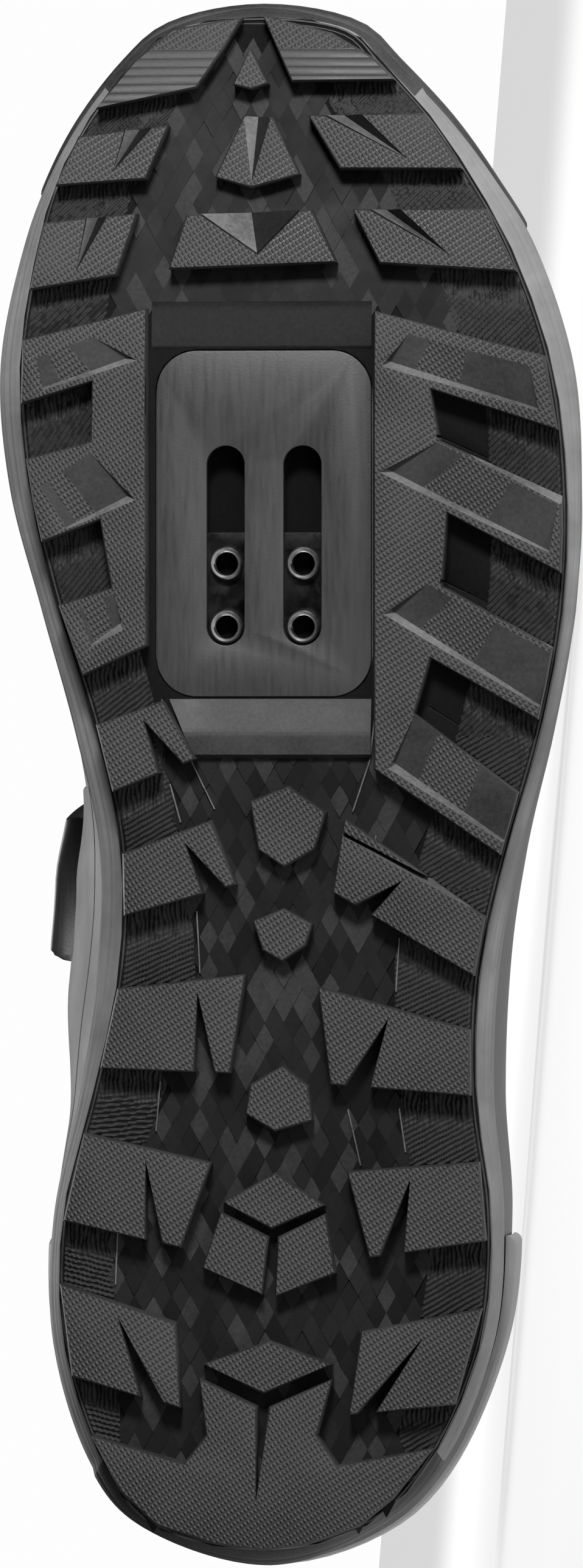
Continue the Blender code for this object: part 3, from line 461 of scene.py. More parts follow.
@lru_cache(maxsize=None)
def wall_handles(reach):
    """The four handles of the wall's section at a reach, from the foot line to the top line."""
    step = 0.01
    foot = edge_point(reach, FOOT_LEVEL)
    tangent = edge_point(reach + step, FOOT_LEVEL) - edge_point(reach - step, FOOT_LEVEL)
    outward = np.array([-tangent[1], tangent[0]]) / np.linalg.norm(tangent)
    here = min(abs(reach), 2 - abs(reach))
    medial = 0 <= reach <= 1 or reach < -1
    side = 1 if medial else -1
    column = {name: smooth(TOPLINE, "reach", name, here) for name in Top._fields[1:]}
    top_x = (column["centre"] + side * column["half"]) * BALL_WIDTH
    top = np.array([top_x, column["along"] * LENGTH, column["height"] * COLLAR_HEIGHT])
    foot = np.array([foot[0], foot[1], feather(foot[1]) + GAP])
    tall = top[2] - foot[2]
    lean = column["lean_medial" if medial else "lean_lateral"] * LEAN
    push = np.array([outward[0] * lean, outward[1] * lean, 0.0])
    spread = np.array([foot[0] - top[0], foot[1] - top[1], 0.0])
    lower = foot + push + np.array([0, 0, WALL_RISE * tall])
    upper = top + spread * column["shoulder"] + push * 0.7 - np.array([0, 0, column["drop"] * tall])
    return foot, lower, upper, top


def bezier(handles, t):
    """A point of the cubic curve with these four handles."""
    weights = ((1 - t) ** 3, 3 * t * (1 - t) ** 2, 3 * t**2 * (1 - t), t**3)
    return sum(weight * handle for weight, handle in zip(weights, handles))


def wall(reach, up):
    """A point of the upper's outer face: reach goes round the shoe and up runs from 0 to 1."""
    return bezier(wall_handles(round(float(reach), 6)), up)


def wall_normal(reach, up):
    small = 0.004
    climb = wall(reach, min(up + small, 1)) - wall(reach, max(up - small, 0))
    sideways = wall(reach + small, up) - wall(reach - small, up)
    normal = np.cross(climb, sideways)
    size = np.linalg.norm(normal)
    return normal / size if size > 1e-12 else np.array([0.0, 0.0, 1.0])


def lifted(reach, up, lift):
    """A point of the wall moved out along its normal, or in where lift is negative."""
    return wall(reach, up) + wall_normal(reach, up) * lift


def beside(reach, up, shift):
    """The reach of a point that lies a real distance further to the heel than this one."""
    step = 0.01
    speed = np.linalg.norm(wall(reach + step, up) - wall(reach - step, up)) / (2 * step)
    return reach + math.copysign(1, reach) * shift / speed


def slanted(medial_up, slant, up):
    """How far a strap that slants by a length lies back at a height of the medial wall."""
    return slant * (1 - up) / (1 - medial_up)


def across_throat(reach, lateral_up, medial_up, lift, shift=0.0, slant=0.0):
    """A line over the foot from the lateral wall across the throat to the medial wall."""
    lateral = []
    for up in np.linspace(lateral_up, 1, THROAT_STEPS):
        lateral.append(lifted(beside(-reach, up, shift), up, lift))
    medial = []
    for up in np.linspace(1, medial_up, THROAT_STEPS):
        back = shift + slanted(medial_up, slant, up)
        medial.append(lifted(beside(reach, up, back), up, lift))
    start, end = lateral[-1], medial[0]
    width = np.linalg.norm(end - start)
    out = (lateral[-1] - lateral[-3]) / np.linalg.norm(lateral[-1] - lateral[-3])
    back = (medial[0] - medial[2]) / np.linalg.norm(medial[0] - medial[2])
    handles = start, start + out * width * BRIDGE_PULL, end + back * width * BRIDGE_PULL, end
    bridge = [bezier(handles, t) for t in np.arange(1, BRIDGE_STEPS) / BRIDGE_STEPS]
    return lateral + bridge + medial


def shoe_matrix():
    """The shoe's own frame, found from the plate's sliding axis and the pocket's face."""
    mount = frame["record"]["mounts"][0]
    toe = Vector(frame["joints"][0]["axis"]).normalized()
    up = -Vector(mount["axis"])
    up = (up - toe * up.dot(toe)).normalized()
    turn = Matrix((toe.cross(up), toe, up)).transposed()
    spot = Vector((PLATE_ACROSS * BALL_WIDTH, PLATE_ALONG * LENGTH, LUG_DEPTH))
    origin = Vector(mount["pos_m"]) - turn @ spot
    return Matrix.Translation(origin) @ turn.to_4x4()


SHOE = shoe_matrix()


# Materials
def tree_of(name):
    material = bpy.data.materials.new(name)
    material.use_nodes = True
    tree = material.node_tree
    return material, tree, tree.nodes["Principled BSDF"]


def node(tree, kind, **settings):
    made = tree.nodes.new(kind)
    for key, value in settings.items():
        setattr(made, key, value)
    return made


def socket(tree, target, value):
    """Sets a socket to a value, or links another node's output to it."""
    if isinstance(value, bpy.types.NodeSocket):
        tree.links.new(value, target)
    else:
        target.default_value = value


def math_node(tree, operation, first, second=0.0, third=None):
    made = node(tree, "ShaderNodeMath", operation=operation)
    socket(tree, made.inputs[0], first)
    socket(tree, made.inputs[1], second)
    if third is not None:
        socket(tree, made.inputs[2], third)
    return made.outputs[0]


def shoe_place(tree):
    """The shaded point in the shoe's own frame."""
    back = SHOE.inverted()
    place = node(tree, "ShaderNodeTexCoord").outputs["Object"]
    mapping = node(tree, "ShaderNodeMapping")
    mapping.inputs["Location"].default_value = back.to_translation()
    mapping.inputs["Rotation"].default_value = back.to_euler("XYZ")
    tree.links.new(place, mapping.inputs["Vector"])
    return mapping.outputs["Vector"]


def noise_node(tree, scale, detail, roughness, vector=None):
    made = node(tree, "ShaderNodeTexNoise")
    made.inputs["Scale"].default_value = scale
    made.inputs["Detail"].default_value = detail
    made.inputs["Roughness"].default_value = roughness
    tree.links.new(vector or shoe_place(tree), made.inputs["Vector"])
    return made.outputs["Fac"]


def cell_distance(tree, feature, scale, randomness=1.0):
    """The distance to the nearest of many scattered cells."""
    made = node(tree, "ShaderNodeTexVoronoi", feature=feature)
    made.inputs["Scale"].default_value = scale
    made.inputs["Randomness"].default_value = randomness
    tree.links.new(shoe_place(tree), made.inputs["Vector"])
    return made.outputs["Distance"]


def ramp_between(tree, value, low, high, from_low, from_high):
    """Maps a value from one range to another, with its ends held."""
    made = node(tree, "ShaderNodeMapRange")
    socket(tree, made.inputs["Value"], value)
    made.inputs["From Min"].default_value = from_low
    made.inputs["From Max"].default_value = from_high
    made.inputs["To Min"].default_value = low
    made.inputs["To Max"].default_value = high
    return made.outputs["Result"]


def weighted(tree, first, weight, second, other_weight):
    """The sum of two values, each times its weight."""
    return math_node(tree, "MULTIPLY_ADD", first, weight, math_node(tree, "MULTIPLY", second, other_weight))


def coloured(tree, shader, factor, dark, light, roughness, tints=(0.0, 0.0)):
    """Base colour between two greys by a factor, and roughness as a value or a socket."""
    made = node(tree, "ShaderNodeMix", data_type="RGBA")
    socket(tree, made.inputs["Factor"], factor)
    for name, tone, tint in zip("AB", (dark, light), tints):
        made.inputs[name].default_value = (tone, tone, tone * (1 + tint), 1)
    tree.links.new(made.outputs["Result"], shader.inputs["Base Color"])
    socket(tree, shader.inputs["Roughness"], roughness)


def bumped(tree, shader, height, distance, strength, before=None):
    made = node(tree, "ShaderNodeBump")
    made.inputs["Distance"].default_value = distance
    made.inputs["Strength"].default_value = strength
    socket(tree, made.inputs["Height"], height)
    if before is not None:
        tree.links.new(before, made.inputs["Normal"])
    tree.links.new(made.outputs["Normal"], shader.inputs["Normal"])
    return made.outputs["Normal"]


def shoe_axes(tree):
    """The shaded point's X and Y in the shoe's own frame."""
    split = node(tree, "ShaderNodeSeparateXYZ")
    tree.links.new(shoe_place(tree), split.inputs[0])
    return split.outputs["X"], split.outputs["Y"]


def sine_wave(tree, degrees, pitch):
    """A sine across the sole; its crests rise to the right of the photo by an angle."""
    x, y = shoe_axes(tree)
    turn = math.radians(degrees)
    along_x = math_node(tree, "MULTIPLY", x, math.sin(turn) * 2 * math.pi / pitch)
    phase = math_node(tree, "MULTIPLY_ADD", y, math.cos(turn) * 2 * math.pi / pitch, along_x)
    return math_node(tree, "SINE", phase)


def sole_wave(tree, degrees, pitch):
    """The same wave from 0 to 1."""
    return math_node(tree, "MULTIPLY_ADD", sine_wave(tree, degrees, pitch), 0.5, 0.5)


def lattice(tree, pitch, angle, across):
    """Diamond-shaped knobs in rows: two crossed waves in the plane of the sole."""
    first = sine_wave(tree, 90 - angle, pitch)
    second = sine_wave(tree, -angle, pitch * across)
    return math_node(tree, "MULTIPLY_ADD", math_node(tree, "MULTIPLY", first, second), 0.5, 0.5)


def knurl_height(tree):
    """Rows of knobs that rise to the right, and plain grooves on the rear half of the toe lugs."""
    rows = sole_wave(tree, KNURL_ANGLE, KNURL_ROW)
    knobs = math_node(tree, "MULTIPLY", rows, sole_wave(tree, KNURL_ANGLE - 90, KNURL_STEP))
    deep = math_node(tree, "POWER", sole_wave(tree, 0, GROOVE_PITCH), 0.30)
    grooves = math_node(tree, "MULTIPLY_ADD", deep, 0.50, -0.28)
    x, y = shoe_axes(tree)
    rear = math_node(tree, "GREATER_THAN", y, GROOVES_FROM)
    front = math_node(tree, "LESS_THAN", y, GROOVES_TO)
    middle = math_node(tree, "COMPARE", x, MIDDLE_LUG, MIDDLE_LUG_HALF)
    grooved = math_node(tree, "MULTIPLY", rear, front)
    grooved = math_node(tree, "MULTIPLY", grooved, math_node(tree, "SUBTRACT", 1.0, middle))
    mixed = node(tree, "ShaderNodeMix", data_type="FLOAT")
    socket(tree, mixed.inputs["Factor"], grooved)
    socket(tree, mixed.inputs["A"], knobs)
    socket(tree, mixed.inputs["B"], grooves)
    return mixed.outputs["Result"]


def rubber_material(name, tone, roughness, knurled=False, gloss=0.5):
    """Moulded black rubber with a dusty bloom, and knurling where the shoe stands, its colour lighter on the
    knobs' crests as a painted highlight and darker between them as painted shade.
    """
    material, tree, shader = tree_of(name)
    shader.inputs["Specular IOR Level"].default_value = gloss
    cloud = noise_node(tree, 60, 4, 0.6)
    speck = noise_node(tree, 1400, 2, 0.6)
    factor = ramp_between(tree, weighted(tree, speck, 0.35, cloud, 0.65), 0, 1, 0.36, 0.64)
    rough = ramp_between(tree, cloud, roughness - 0.08, roughness + 0.10, 0.3, 0.7)
    grain = bumped(tree, shader, speck, 0.05 * MM, 0.5)
    if knurled:
        knobs = knurl_height(tree)
        # The knobs' height also sets the colour: a painted highlight on their crests, painted shade between them.
        factor = weighted(tree, factor, 0.35, knobs, 0.75)
        bumped(tree, shader, knobs, 0.32 * MM, 1.0, before=grain)
    coloured(tree, shader, factor, tone * 0.55, tone * 1.55, rough)
    return material


def foam_material(name, tone):
    material, tree, shader = tree_of(name)
    cloud = ramp_between(tree, noise_node(tree, 90, 4, 0.6), 0, 1, 0.35, 0.65)
    coloured(tree, shader, cloud, tone * 0.82, tone * 1.15, 0.62)
    bumped(tree, shader, noise_node(tree, 2600, 2, 0.5), 0.04 * MM, 0.6)
    return material


def skin_material(name, tone, roughness):
    """Smooth synthetic leather with a fine pebble grain."""
    material, tree, shader = tree_of(name)
    cloud = noise_node(tree, 55, 4, 0.55)
    factor = ramp_between(tree, cloud, 0, 1, 0.35, 0.65)
    rough = ramp_between(tree, cloud, roughness - 0.06, roughness + 0.08, 0.3, 0.7)
    coloured(tree, shader, factor, tone * 0.86, tone * 1.12, rough, tints=(0.02, 0.02))
    bumped(tree, shader, cell_distance(tree, "SMOOTH_F1", 1300), 0.06 * MM, 0.7)
    return material


def mesh_material(name, tone, hole_shade_tone):
    """Open knit: small round holes in rows between raised yarns, the holes painted near-black as shade inside
    them.
    """
    material, tree, shader = tree_of(name)
    hole = ramp_between(tree, cell_distance(tree, "F1", 620, 0.25), 0, 1, 0.22, 0.42)
    coloured(tree, shader, hole, hole_shade_tone, tone, 0.85, tints=(0.0, 0.03))
    shader.inputs["Sheen Weight"].default_value = 0.15
    fine = bumped(tree, shader, noise_node(tree, 3200, 2, 0.6), 0.05 * MM, 0.6)
    bumped(tree, shader, hole, 0.35 * MM, 0.9, before=fine)
    return material


def webbing_material(name, tone):
    """Narrow woven tape with a rib across its width."""
    material, tree, shader = tree_of(name)
    weave = lattice(tree, 0.9 * MM, 8, 0.6)
    factor = weighted(tree, weave, 0.6, noise_node(tree, 150, 3, 0.6), 0.4)
    coloured(tree, shader, factor, tone * 0.6, tone * 1.5, 0.78)
    shader.inputs["Sheen Weight"].default_value = 0.2
    bumped(tree, shader, weave, 0.14 * MM, 0.8)
    return material


def lining_material(name, tone):
    """Soft knit with a fuzz."""
    material, tree, shader = tree_of(name)
    factor = weighted(tree, lattice(tree, 1.3 * MM, 45, 1.0), 0.5, noise_node(tree, 1800, 3, 0.7), 0.5)
    coloured(tree, shader, factor, tone * 0.6, tone * 1.35, 0.9)
    shader.inputs["Sheen Weight"].default_value = 0.35
    bumped(tree, shader, factor, 0.12 * MM, 0.7)
    return material


def nylon_material(name, tone):
    """Glass-filled nylon with a satin skin and fine lengthwise rub marks."""
    material, tree, shader = tree_of(name)
    stretch = node(tree, "ShaderNodeMapping")
    stretch.inputs["Scale"].default_value = (9.0, 0.9, 1.0)
    tree.links.new(shoe_place(tree), stretch.inputs["Vector"])
    rub = noise_node(tree, 130, 5, 0.65, vector=stretch.outputs["Vector"])
    factor = weighted(tree, rub, 0.35, noise_node(tree, 42, 3, 0.5), 0.65)
    factor = ramp_between(tree, factor, 0, 1, 0.35, 0.62)
    rough = ramp_between(tree, rub, 0.34, 0.52, 0.3, 0.7)
    coloured(tree, shader, factor, tone * 0.78, tone * 1.2, rough)
    bumped(tree, shader, noise_node(tree, 2200, 2, 0.5), 0.03 * MM, 0.5)
    return material


def steel_material(name, tone):
    material, tree, shader = tree_of(name)
    cloud = noise_node(tree, 400, 4, 0.6)
    coloured(tree, shader, cloud, tone * 0.7, tone * 1.25, ramp_between(tree, cloud, 0.24, 0.42, 0.3, 0.7))
    shader.inputs["Metallic"].default_value = 1.0
    bumped(tree, shader, cloud, 0.02 * MM, 0.5)
    return material


def thread_material(name, tone):
    material, tree, shader = tree_of(name)
    twist = noise_node(tree, 4200, 2, 0.6)
    coloured(tree, shader, twist, tone * 0.7, tone * 1.3, 0.7)
    bumped(tree, shader, twist, 0.06 * MM, 0.7)
    return material


def paper_material(name, tone):
    """The pale floor, which glows a little, as a light table does."""
    material, tree, shader = tree_of(name)
    coloured(tree, shader, noise_node(tree, 3, 2, 0.5), tone * 0.985, tone, 0.9)
    shader.inputs["Specular IOR Level"].default_value = 0.0
    shader.inputs["Emission Color"].default_value = (1, 1, 1, 1)
    shader.inputs["Emission Strength"].default_value = FLOOR_GLOW
    return material


RUBBER = rubber_material("rubber_smooth", 0.026, 0.55, gloss=0.35)
KNURL = rubber_material("rubber_knurled", 0.050, 0.55, knurled=True, gloss=0.4)
# The tread's floor between the lugs is set far darker than the lug tops: painted shade of the recessed floor.
FLOOR_RUBBER_PAINTED_SHADE = rubber_material("rubber_floor_painted_shade", 0.004, 0.75, gloss=0.1)
# One smooth rubber in two tones. The lighter is a painted highlight on one facet of each V, on the recess lips and
# on the slanted rail walls. The darker is painted shade on the other facet of each V and on the apron before the
# plate.
PAINTED_HIGHLIGHT_FACET = rubber_material("rubber_facet_painted_highlight", 0.105, 0.45)
PAINTED_SHADE_FACET = rubber_material("rubber_facet_painted_shade", 0.010, 0.70, gloss=0.2)
# Each mosaic rhomb takes one of three tones at random. All of them are far darker than the lug tops, as painted
# shade of the recessed floor.
MOSAIC_TONES = []
for i, tone in enumerate((0.002, 0.006, 0.022)):
    MOSAIC_TONES.append(rubber_material(f"rubber_mosaic_{i}", tone, 0.65, gloss=0.2))
# The ribbed side gaps are darkened as painted shade.
RIB_RUBBER_PAINTED_SHADE = rubber_material("rubber_ribs_painted_shade", 0.015, 0.60, gloss=0.25)
# The thin floor lines are painted brighter than the lug tops: a painted highlight along them.
LINE_RUBBER_PAINTED_HIGHLIGHT = rubber_material("rubber_lines_painted_highlight", 0.10, 0.40)
POCKET_RUBBER = rubber_material("rubber_pocket", 0.026, 0.55, gloss=0.3)
# The midsole's hollow round the nut plate is painted near-black: painted shade inside it.
PAINTED_SHADE_HOLLOW = rubber_material("painted_shade_hollow", 0.003, 0.85, gloss=0.1)
FOAM = foam_material("foam_grey", 0.175)
SKIN = skin_material("skin_grey", 0.075, 0.55)
SKIN_DARK = skin_material("skin_dark", 0.045, 0.50)
SHELL = skin_material("shell_grey", 0.19, 0.45)
MESH = mesh_material("open_knit", 0.10, 0.012)
LINING = lining_material("lining", 0.05)
WEBBING = webbing_material("webbing", 0.030)
NYLON = nylon_material("nylon_plate", 0.032)
NYLON_DARK = nylon_material("nylon_dark", 0.020)
STEEL = steel_material("steel_thread", 0.45)
STEEL_DARK = steel_material("steel_blackened", 0.02)
THREAD = thread_material("stitch_thread", 0.10)
PAPER = paper_material("paper_floor", 0.60)


# Mesh helpers
def add_piece(name, mesh, materials, slot, body="shoe", replaces=(), angle=35):
    """Adds a mesh in shoe coordinates as a piece that rides on a body."""
    if isinstance(mesh, bmesh.types.BMesh):
        bm = mesh
        mesh = bpy.data.meshes.new(name)
        bm.to_mesh(mesh)
        bm.free()
    obj = bpy.data.objects.new(name, mesh)
    bpy.context.scene.collection.objects.link(obj)
    for material in materials:
        mesh.materials.append(material)
    mesh.transform(SHOE)
    if angle:
        mesh.shade_smooth()
        mesh.set_sharp_from_angle(angle=math.radians(angle))
    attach(obj, body)
    if replaces:
        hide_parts(*replaces)
    return obj


def apply_modifiers(obj):
    graph = bpy.context.evaluated_depsgraph_get()
    graph.update()
    mesh = bpy.data.meshes.new_from_object(obj.evaluated_get(graph))
    obj.modifiers.clear()
    obj.data = mesh
    return obj


def grid_normals(grid):
    """Unit normals of a grid of points, on the left of its rows."""
    along = np.gradient(grid, axis=1)
    down = np.gradient(grid, axis=0)
    normals = np.cross(along, down)
    return normals / np.maximum(np.linalg.norm(normals, axis=2, keepdims=True), 1e-12)


def edge_distance(grid):
    """Each point's distance to the nearest border of its grid, measured along the grid."""
    across = np.linalg.norm(np.diff(grid, axis=1), axis=2)
    down = np.linalg.norm(np.diff(grid, axis=0), axis=2)
    left = np.pad(np.cumsum(across, axis=1), ((0, 0), (1, 0)))
    top = np.pad(np.cumsum(down, axis=0), ((1, 0), (0, 0)))
    right = left[:, -1:] - left
    bottom = top[-1:] - top
    return np.minimum(np.minimum(left, right), np.minimum(top, bottom))


def soft_sheet(grid, thickness, border, crown=0.0, flip=False):
    """A closed sheet of real thickness on a grid of points, with its edges rounded off."""
    grid = np.array(grid, dtype=float)
    normals = grid_normals(grid) * (-1 if flip else 1)
    distance = edge_distance(grid)
    ease = np.sqrt(np.maximum(0, 1 - (1 - np.clip(distance / border, 0, 1)) ** 2))
    bulge = crown * np.clip(distance / max(distance.max(), 1e-9), 0, 1) ** 0.7
    outer = grid + normals * (thickness * ease + bulge)[..., None]
    rows, columns = grid.shape[:2]
    bm = bmesh.new()
    inner_verts = [[bm.verts.new(grid[i, j]) for j in range(columns)] for i in range(rows)]
    outer_verts = []
    for i in range(rows):
        line = []
        for j in range(columns):
            on_border = i in (0, rows - 1) or j in (0, columns - 1)
            line.append(inner_verts[i][j] if on_border else bm.verts.new(outer[i, j]))
        outer_verts.append(line)
    for i in range(rows - 1):
        for j in range(columns - 1):
            quad = [(i, j), (i, j + 1), (i + 1, j + 1), (i + 1, j)]
            bm.faces.new([outer_verts[a][b] for a, b in quad])
            inner = [inner_verts[a][b] for a, b in reversed(quad)]
            if not bm.faces.get(inner):
                bm.faces.new(inner)
    bmesh.ops.recalc_face_normals(bm, faces=bm.faces)
    return bm


def closer_to_ends(count, first=0.0, last=1.0, power=0.55):
    """Values from first to last that crowd towards both ends."""
    t = np.linspace(-1, 1, count)
    bent = np.sign(t) * (1 - (1 - np.abs(t)) ** (1 / power))
    return first + (last - first) * (bent + 1) / 2


def wall_patch(reaches, low, high, lift, rows=9):
    """A grid on the upper's wall between two heights, each given as a function of reach."""
    grid = []
    for share in closer_to_ends(rows):
        line = []
        for reach in reaches:
            up = low(reach) + (high(reach) - low(reach)) * share
            line.append(lifted(reach, up, lift))
        grid.append(line)
    return np.array(grid)


def banded(bm, rows, closed=True, material=None):
    """Faces between rows of corners; material gives a face's index from its row and place."""
    count = len(rows[0])
    for i, (one, two) in enumerate(zip(rows, rows[1:])):
        for j in range(count if closed else count - 1):
            k = (j + 1) % count
            face = bm.faces.new((one[j], one[k], two[k], two[j]))
            if material:
                face.material_index = material(i, j)


def swept(rows, material=None):
    """A closed body through its cross-sections, which are given as points."""
    bm = bmesh.new()
    rings = [[bm.verts.new(point) for point in row] for row in rows]
    banded(bm, rings, material=material)
    bm.faces.new(rings[0][::-1])
    bm.faces.new(rings[-1])
    bmesh.ops.recalc_face_normals(bm, faces=bm.faces)
    return bm


def stacked(bm, loops, material=None):
    """Closes a stack of loops round the shoe with strips across its lowest and highest loop."""
    banded(bm, loops, material=material)
    count = len(loops[0])
    for loop in (loops[0], loops[-1]):
        for i in range(count // 2):
            corners = [loop[i], loop[i + 1], loop[(-i - 1) % count], loop[-i % count]]
            bm.faces.new(list(dict.fromkeys(corners)))
    bmesh.ops.recalc_face_normals(bm, faces=bm.faces)
    return bm


def sunk_in_base(bm, depth):
    """Closes a sheet on the tread's floor with a copy that lies a depth inside the base."""
    made = bmesh.ops.extrude_face_region(bm, geom=bm.faces[:])
    for item in made["geom"]:
        if isinstance(item, bmesh.types.BMVert):
            item.co.z = rise(item.co.y) + LUG_DEPTH + depth
    bmesh.ops.recalc_face_normals(bm, faces=bm.faces)
    return bm


def tube(points, radius, sides, taper=0):
    """A closed tube along a line of points, with its ends drawn in over a few points."""
    points = np.array(points)
    count = len(points)
    rings = []
    previous = None
    for i, point in enumerate(points):
        ahead = points[min(i + 1, count - 1)] - points[max(i - 1, 0)]
        ahead = Vector(ahead).normalized()
        side = ahead.orthogonal() if previous is None else previous - ahead * previous.dot(ahead)
        side.normalize()
        previous = side
        other = ahead.cross(side)
        width = radius
        if taper:
            near = min(i, count - 1 - i)
            width = radius * math.sqrt(1 - (1 - min(near / taper, 1)) ** 2) + radius * 0.05
        ring = []
        for k in range(sides):
            angle = 2 * math.pi * k / sides
            ring.append(Vector(point) + side * math.cos(angle) * width + other * math.sin(angle) * width)
        rings.append(ring)
    return swept(rings)


def joined(parts):
    whole = bmesh.new()
    for part in parts:
        mesh = bpy.data.meshes.new("part")
        part.to_mesh(mesh)
        part.free()
        whole.from_mesh(mesh)
        bpy.data.meshes.remove(mesh)
    return whole


def stitches(path, normals):
    """A row of single stitches along a path: flat spindles that dip in at both ends."""
    path = np.array(path)
    normals = np.array(normals)
    steps = np.concatenate([[0], np.cumsum(np.linalg.norm(np.diff(path, axis=0), axis=1))])
    bm = bmesh.new()
    place = 0.0

    def at(distance):
        point = [np.interp(distance, steps, path[:, k]) for k in range(3)]
        normal = [np.interp(distance, steps, normals[:, k]) for k in range(3)]
        return Vector(point), Vector(normal).normalized()

    while place + STITCH < steps[-1]:
        start, start_up = at(place)
        end, end_up = at(place + STITCH)
        up = (start_up + end_up).normalized()
        side = (end - start).normalized().cross(up).normalized()
        first = bm.verts.new(start - up * STITCH_WIDTH * 0.3)
        last = bm.verts.new(end - up * STITCH_WIDTH * 0.3)
        rings = []
        for share, high in ((0.15, 0.6), (0.5, 0.75), (0.85, 0.6)):
            middle = start.lerp(end, share)
            ring = []
            for across, lift in ((1, 0), (0.6, high), (-0.6, high), (-1, 0)):
                offset = side * across * STITCH_WIDTH * 0.5 + up * (STITCH_WIDTH * lift)
                ring.append(bm.verts.new(middle + offset))
            rings.append(ring)
        for k in range(4):
            bm.faces.new((first, rings[0][(k + 1) % 4], rings[0][k]))
            bm.faces.new((last, rings[-1][k], rings[-1][(k + 1) % 4]))
        banded(bm, rings)
        place += STITCH + STITCH_SPACE
    bmesh.ops.recalc_face_normals(bm, faces=bm.faces)
    return bm


def wall_stitches(reaches, up, lift):
    """Stitches along the wall at a height given as a function of reach."""
    path = [lifted(reach, up(reach), lift) for reach in reaches]
    normals = [wall_normal(reach, up(reach)) for reach in reaches]
    return stitches(path, normals)


def rounded_rectangle(centre_x, centre_y, width, length, radius, arc_steps=14):
    points = []
    for corner in range(4):
        start = corner * math.pi / 2
        side_x = 1 if corner in (0, 3) else -1
        side_y = 1 if corner in (0, 1) else -1
        for step in range(arc_steps + 1):
            angle = start + step / arc_steps * math.pi / 2
            x = centre_x + side_x * (width / 2 - radius) + radius * math.cos(angle)
            y = centre_y + side_y * (length / 2 - radius) + radius * math.sin(angle)
            points.append((x, y))
    return points


def prism(points, low, high):
    bm = bmesh.new()
    face = bm.faces.new([bm.verts.new((x, y, high)) for x, y in points])
    made = bmesh.ops.extrude_face_region(bm, geom=[face])
    moved = [item for item in made["geom"] if isinstance(item, bmesh.types.BMVert)]
    bmesh.ops.translate(bm, verts=moved, vec=(0, 0, low - high))
    bmesh.ops.recalc_face_normals(bm, faces=bm.faces)
    return bm


def cut_by(obj, bm, operation="DIFFERENCE"):
    """Cuts or joins an object with a closed mesh in shoe coordinates, at once."""
    mesh = bpy.data.meshes.new("cutter")
    bm.to_mesh(mesh)
    bm.free()
    mesh.transform(SHOE)
    cutter = bpy.data.objects.new("cutter", mesh)
    bpy.context.scene.collection.objects.link(cutter)
    modifier = obj.modifiers.new("cut", "BOOLEAN")
    modifier.operation = operation
    modifier.solver = "EXACT"
    modifier.object = cutter
    bpy.context.view_layer.update()
    apply_modifiers(obj)
    bpy.data.objects.remove(cutter)
    return obj


def shoe_point(column, row):
    """A point of the photo, in its own pixels, on the sole's plane."""
    return Vector(((MIDDLE_COLUMN - column) * PIXEL, (HEEL_ROW - row) * PIXEL, 0.0))


# Sole
def build_tread():
    """The moulded rubber sole: the solid's own form with its flat faces made whole."""
    mesh = frame["nodes"]["outsole"].data.copy()
    mesh.materials.clear()
    mesh.transform(SHOE.inverted())
    bm = bmesh.new()
    bm.from_mesh(mesh)
    bmesh.ops.remove_doubles(bm, verts=bm.verts, dist=0.002 * MM)
    bmesh.ops.dissolve_limit(bm, angle_limit=math.radians(0.8), verts=bm.verts, edges=bm.edges)
    bm.normal_update()
    for face in bm.faces:
        centre = face.calc_center_median()
        depth = centre.z - rise(centre.y)
        faces_ground = face.normal.z < -0.9
        if faces_ground and depth < LUG_DEPTH * 0.5:
            face.material_index = TREAD_KNURLED
        elif faces_ground and depth < LUG_DEPTH * 1.1:
            face.material_index = TREAD_FLOOR
        else:
            face.material_index = 0
    bm.to_mesh(mesh)
    bm.free()
    finishes = [RUBBER, KNURL, FLOOR_RUBBER_PAINTED_SHADE, PAINTED_HIGHLIGHT_FACET, PAINTED_SHADE_FACET]
    tread = add_piece("outsole_tread", mesh, finishes, "rubber", replaces=["outsole"])
    for recess in RECESSES:
        cut_by(tread, recess_cutter(recess))
    for chamfer in CHAMFERS:
        cut_by(tread, chamfer_cutter(chamfer))
    cut_by(tread, groove_cutter())
    bevelled(tread, 0.18 * MM, 2, 28)


def bevelled(obj, width, segments, angle):
    """Rounds the edges that are sharper than an angle in degrees."""
    bevel = obj.modifiers.new("soft_edges", "BEVEL")
    bevel.width = width
    bevel.segments = segments
    bevel.limit_method = "ANGLE"
    bevel.angle_limit = math.radians(angle)


def v_body(left, right, tip, sunk, low, far, lit):
    """A closed body between a V-shaped valley, which runs out at its tip, and a far level, with a painted
    highlight on its medial facet and painted shade on its lateral one.
    """
    bm = bmesh.new()
    mouth = (left + right) / 2
    near = []
    for spot, extra in ((left, 0.0), (mouth, sunk), (right, 0.0), (tip, 0.0)):
        near.append(bm.verts.new((spot.x, spot.y, rise(spot.y) + low + extra)))
    back = [bm.verts.new((vert.co.x, vert.co.y, far(vert.co.y))) for vert in near]
    for first, second in ((0, 1), (1, 2)):
        face = bm.faces.new((near[first], near[second], near[3]))
        centre = face.calc_center_median()
        ridge = mouth.lerp(tip, (centre.y - mouth.y) / (tip.y - mouth.y))
        # The medial facet takes the painted-highlight slot, the lateral facet the painted-shade slot after it.
        face.material_index = lit if centre.x > ridge.x else lit + 1
    bm.faces.new((back[0], back[1], back[3]))
    bm.faces.new((back[1], back[2], back[3]))
    for i, j in ((0, 1), (1, 2), (2, 3), (3, 0)):
        bm.faces.new((near[i], near[j], back[j], back[i]))
    bmesh.ops.recalc_face_normals(bm, faces=bm.faces)
    return bm


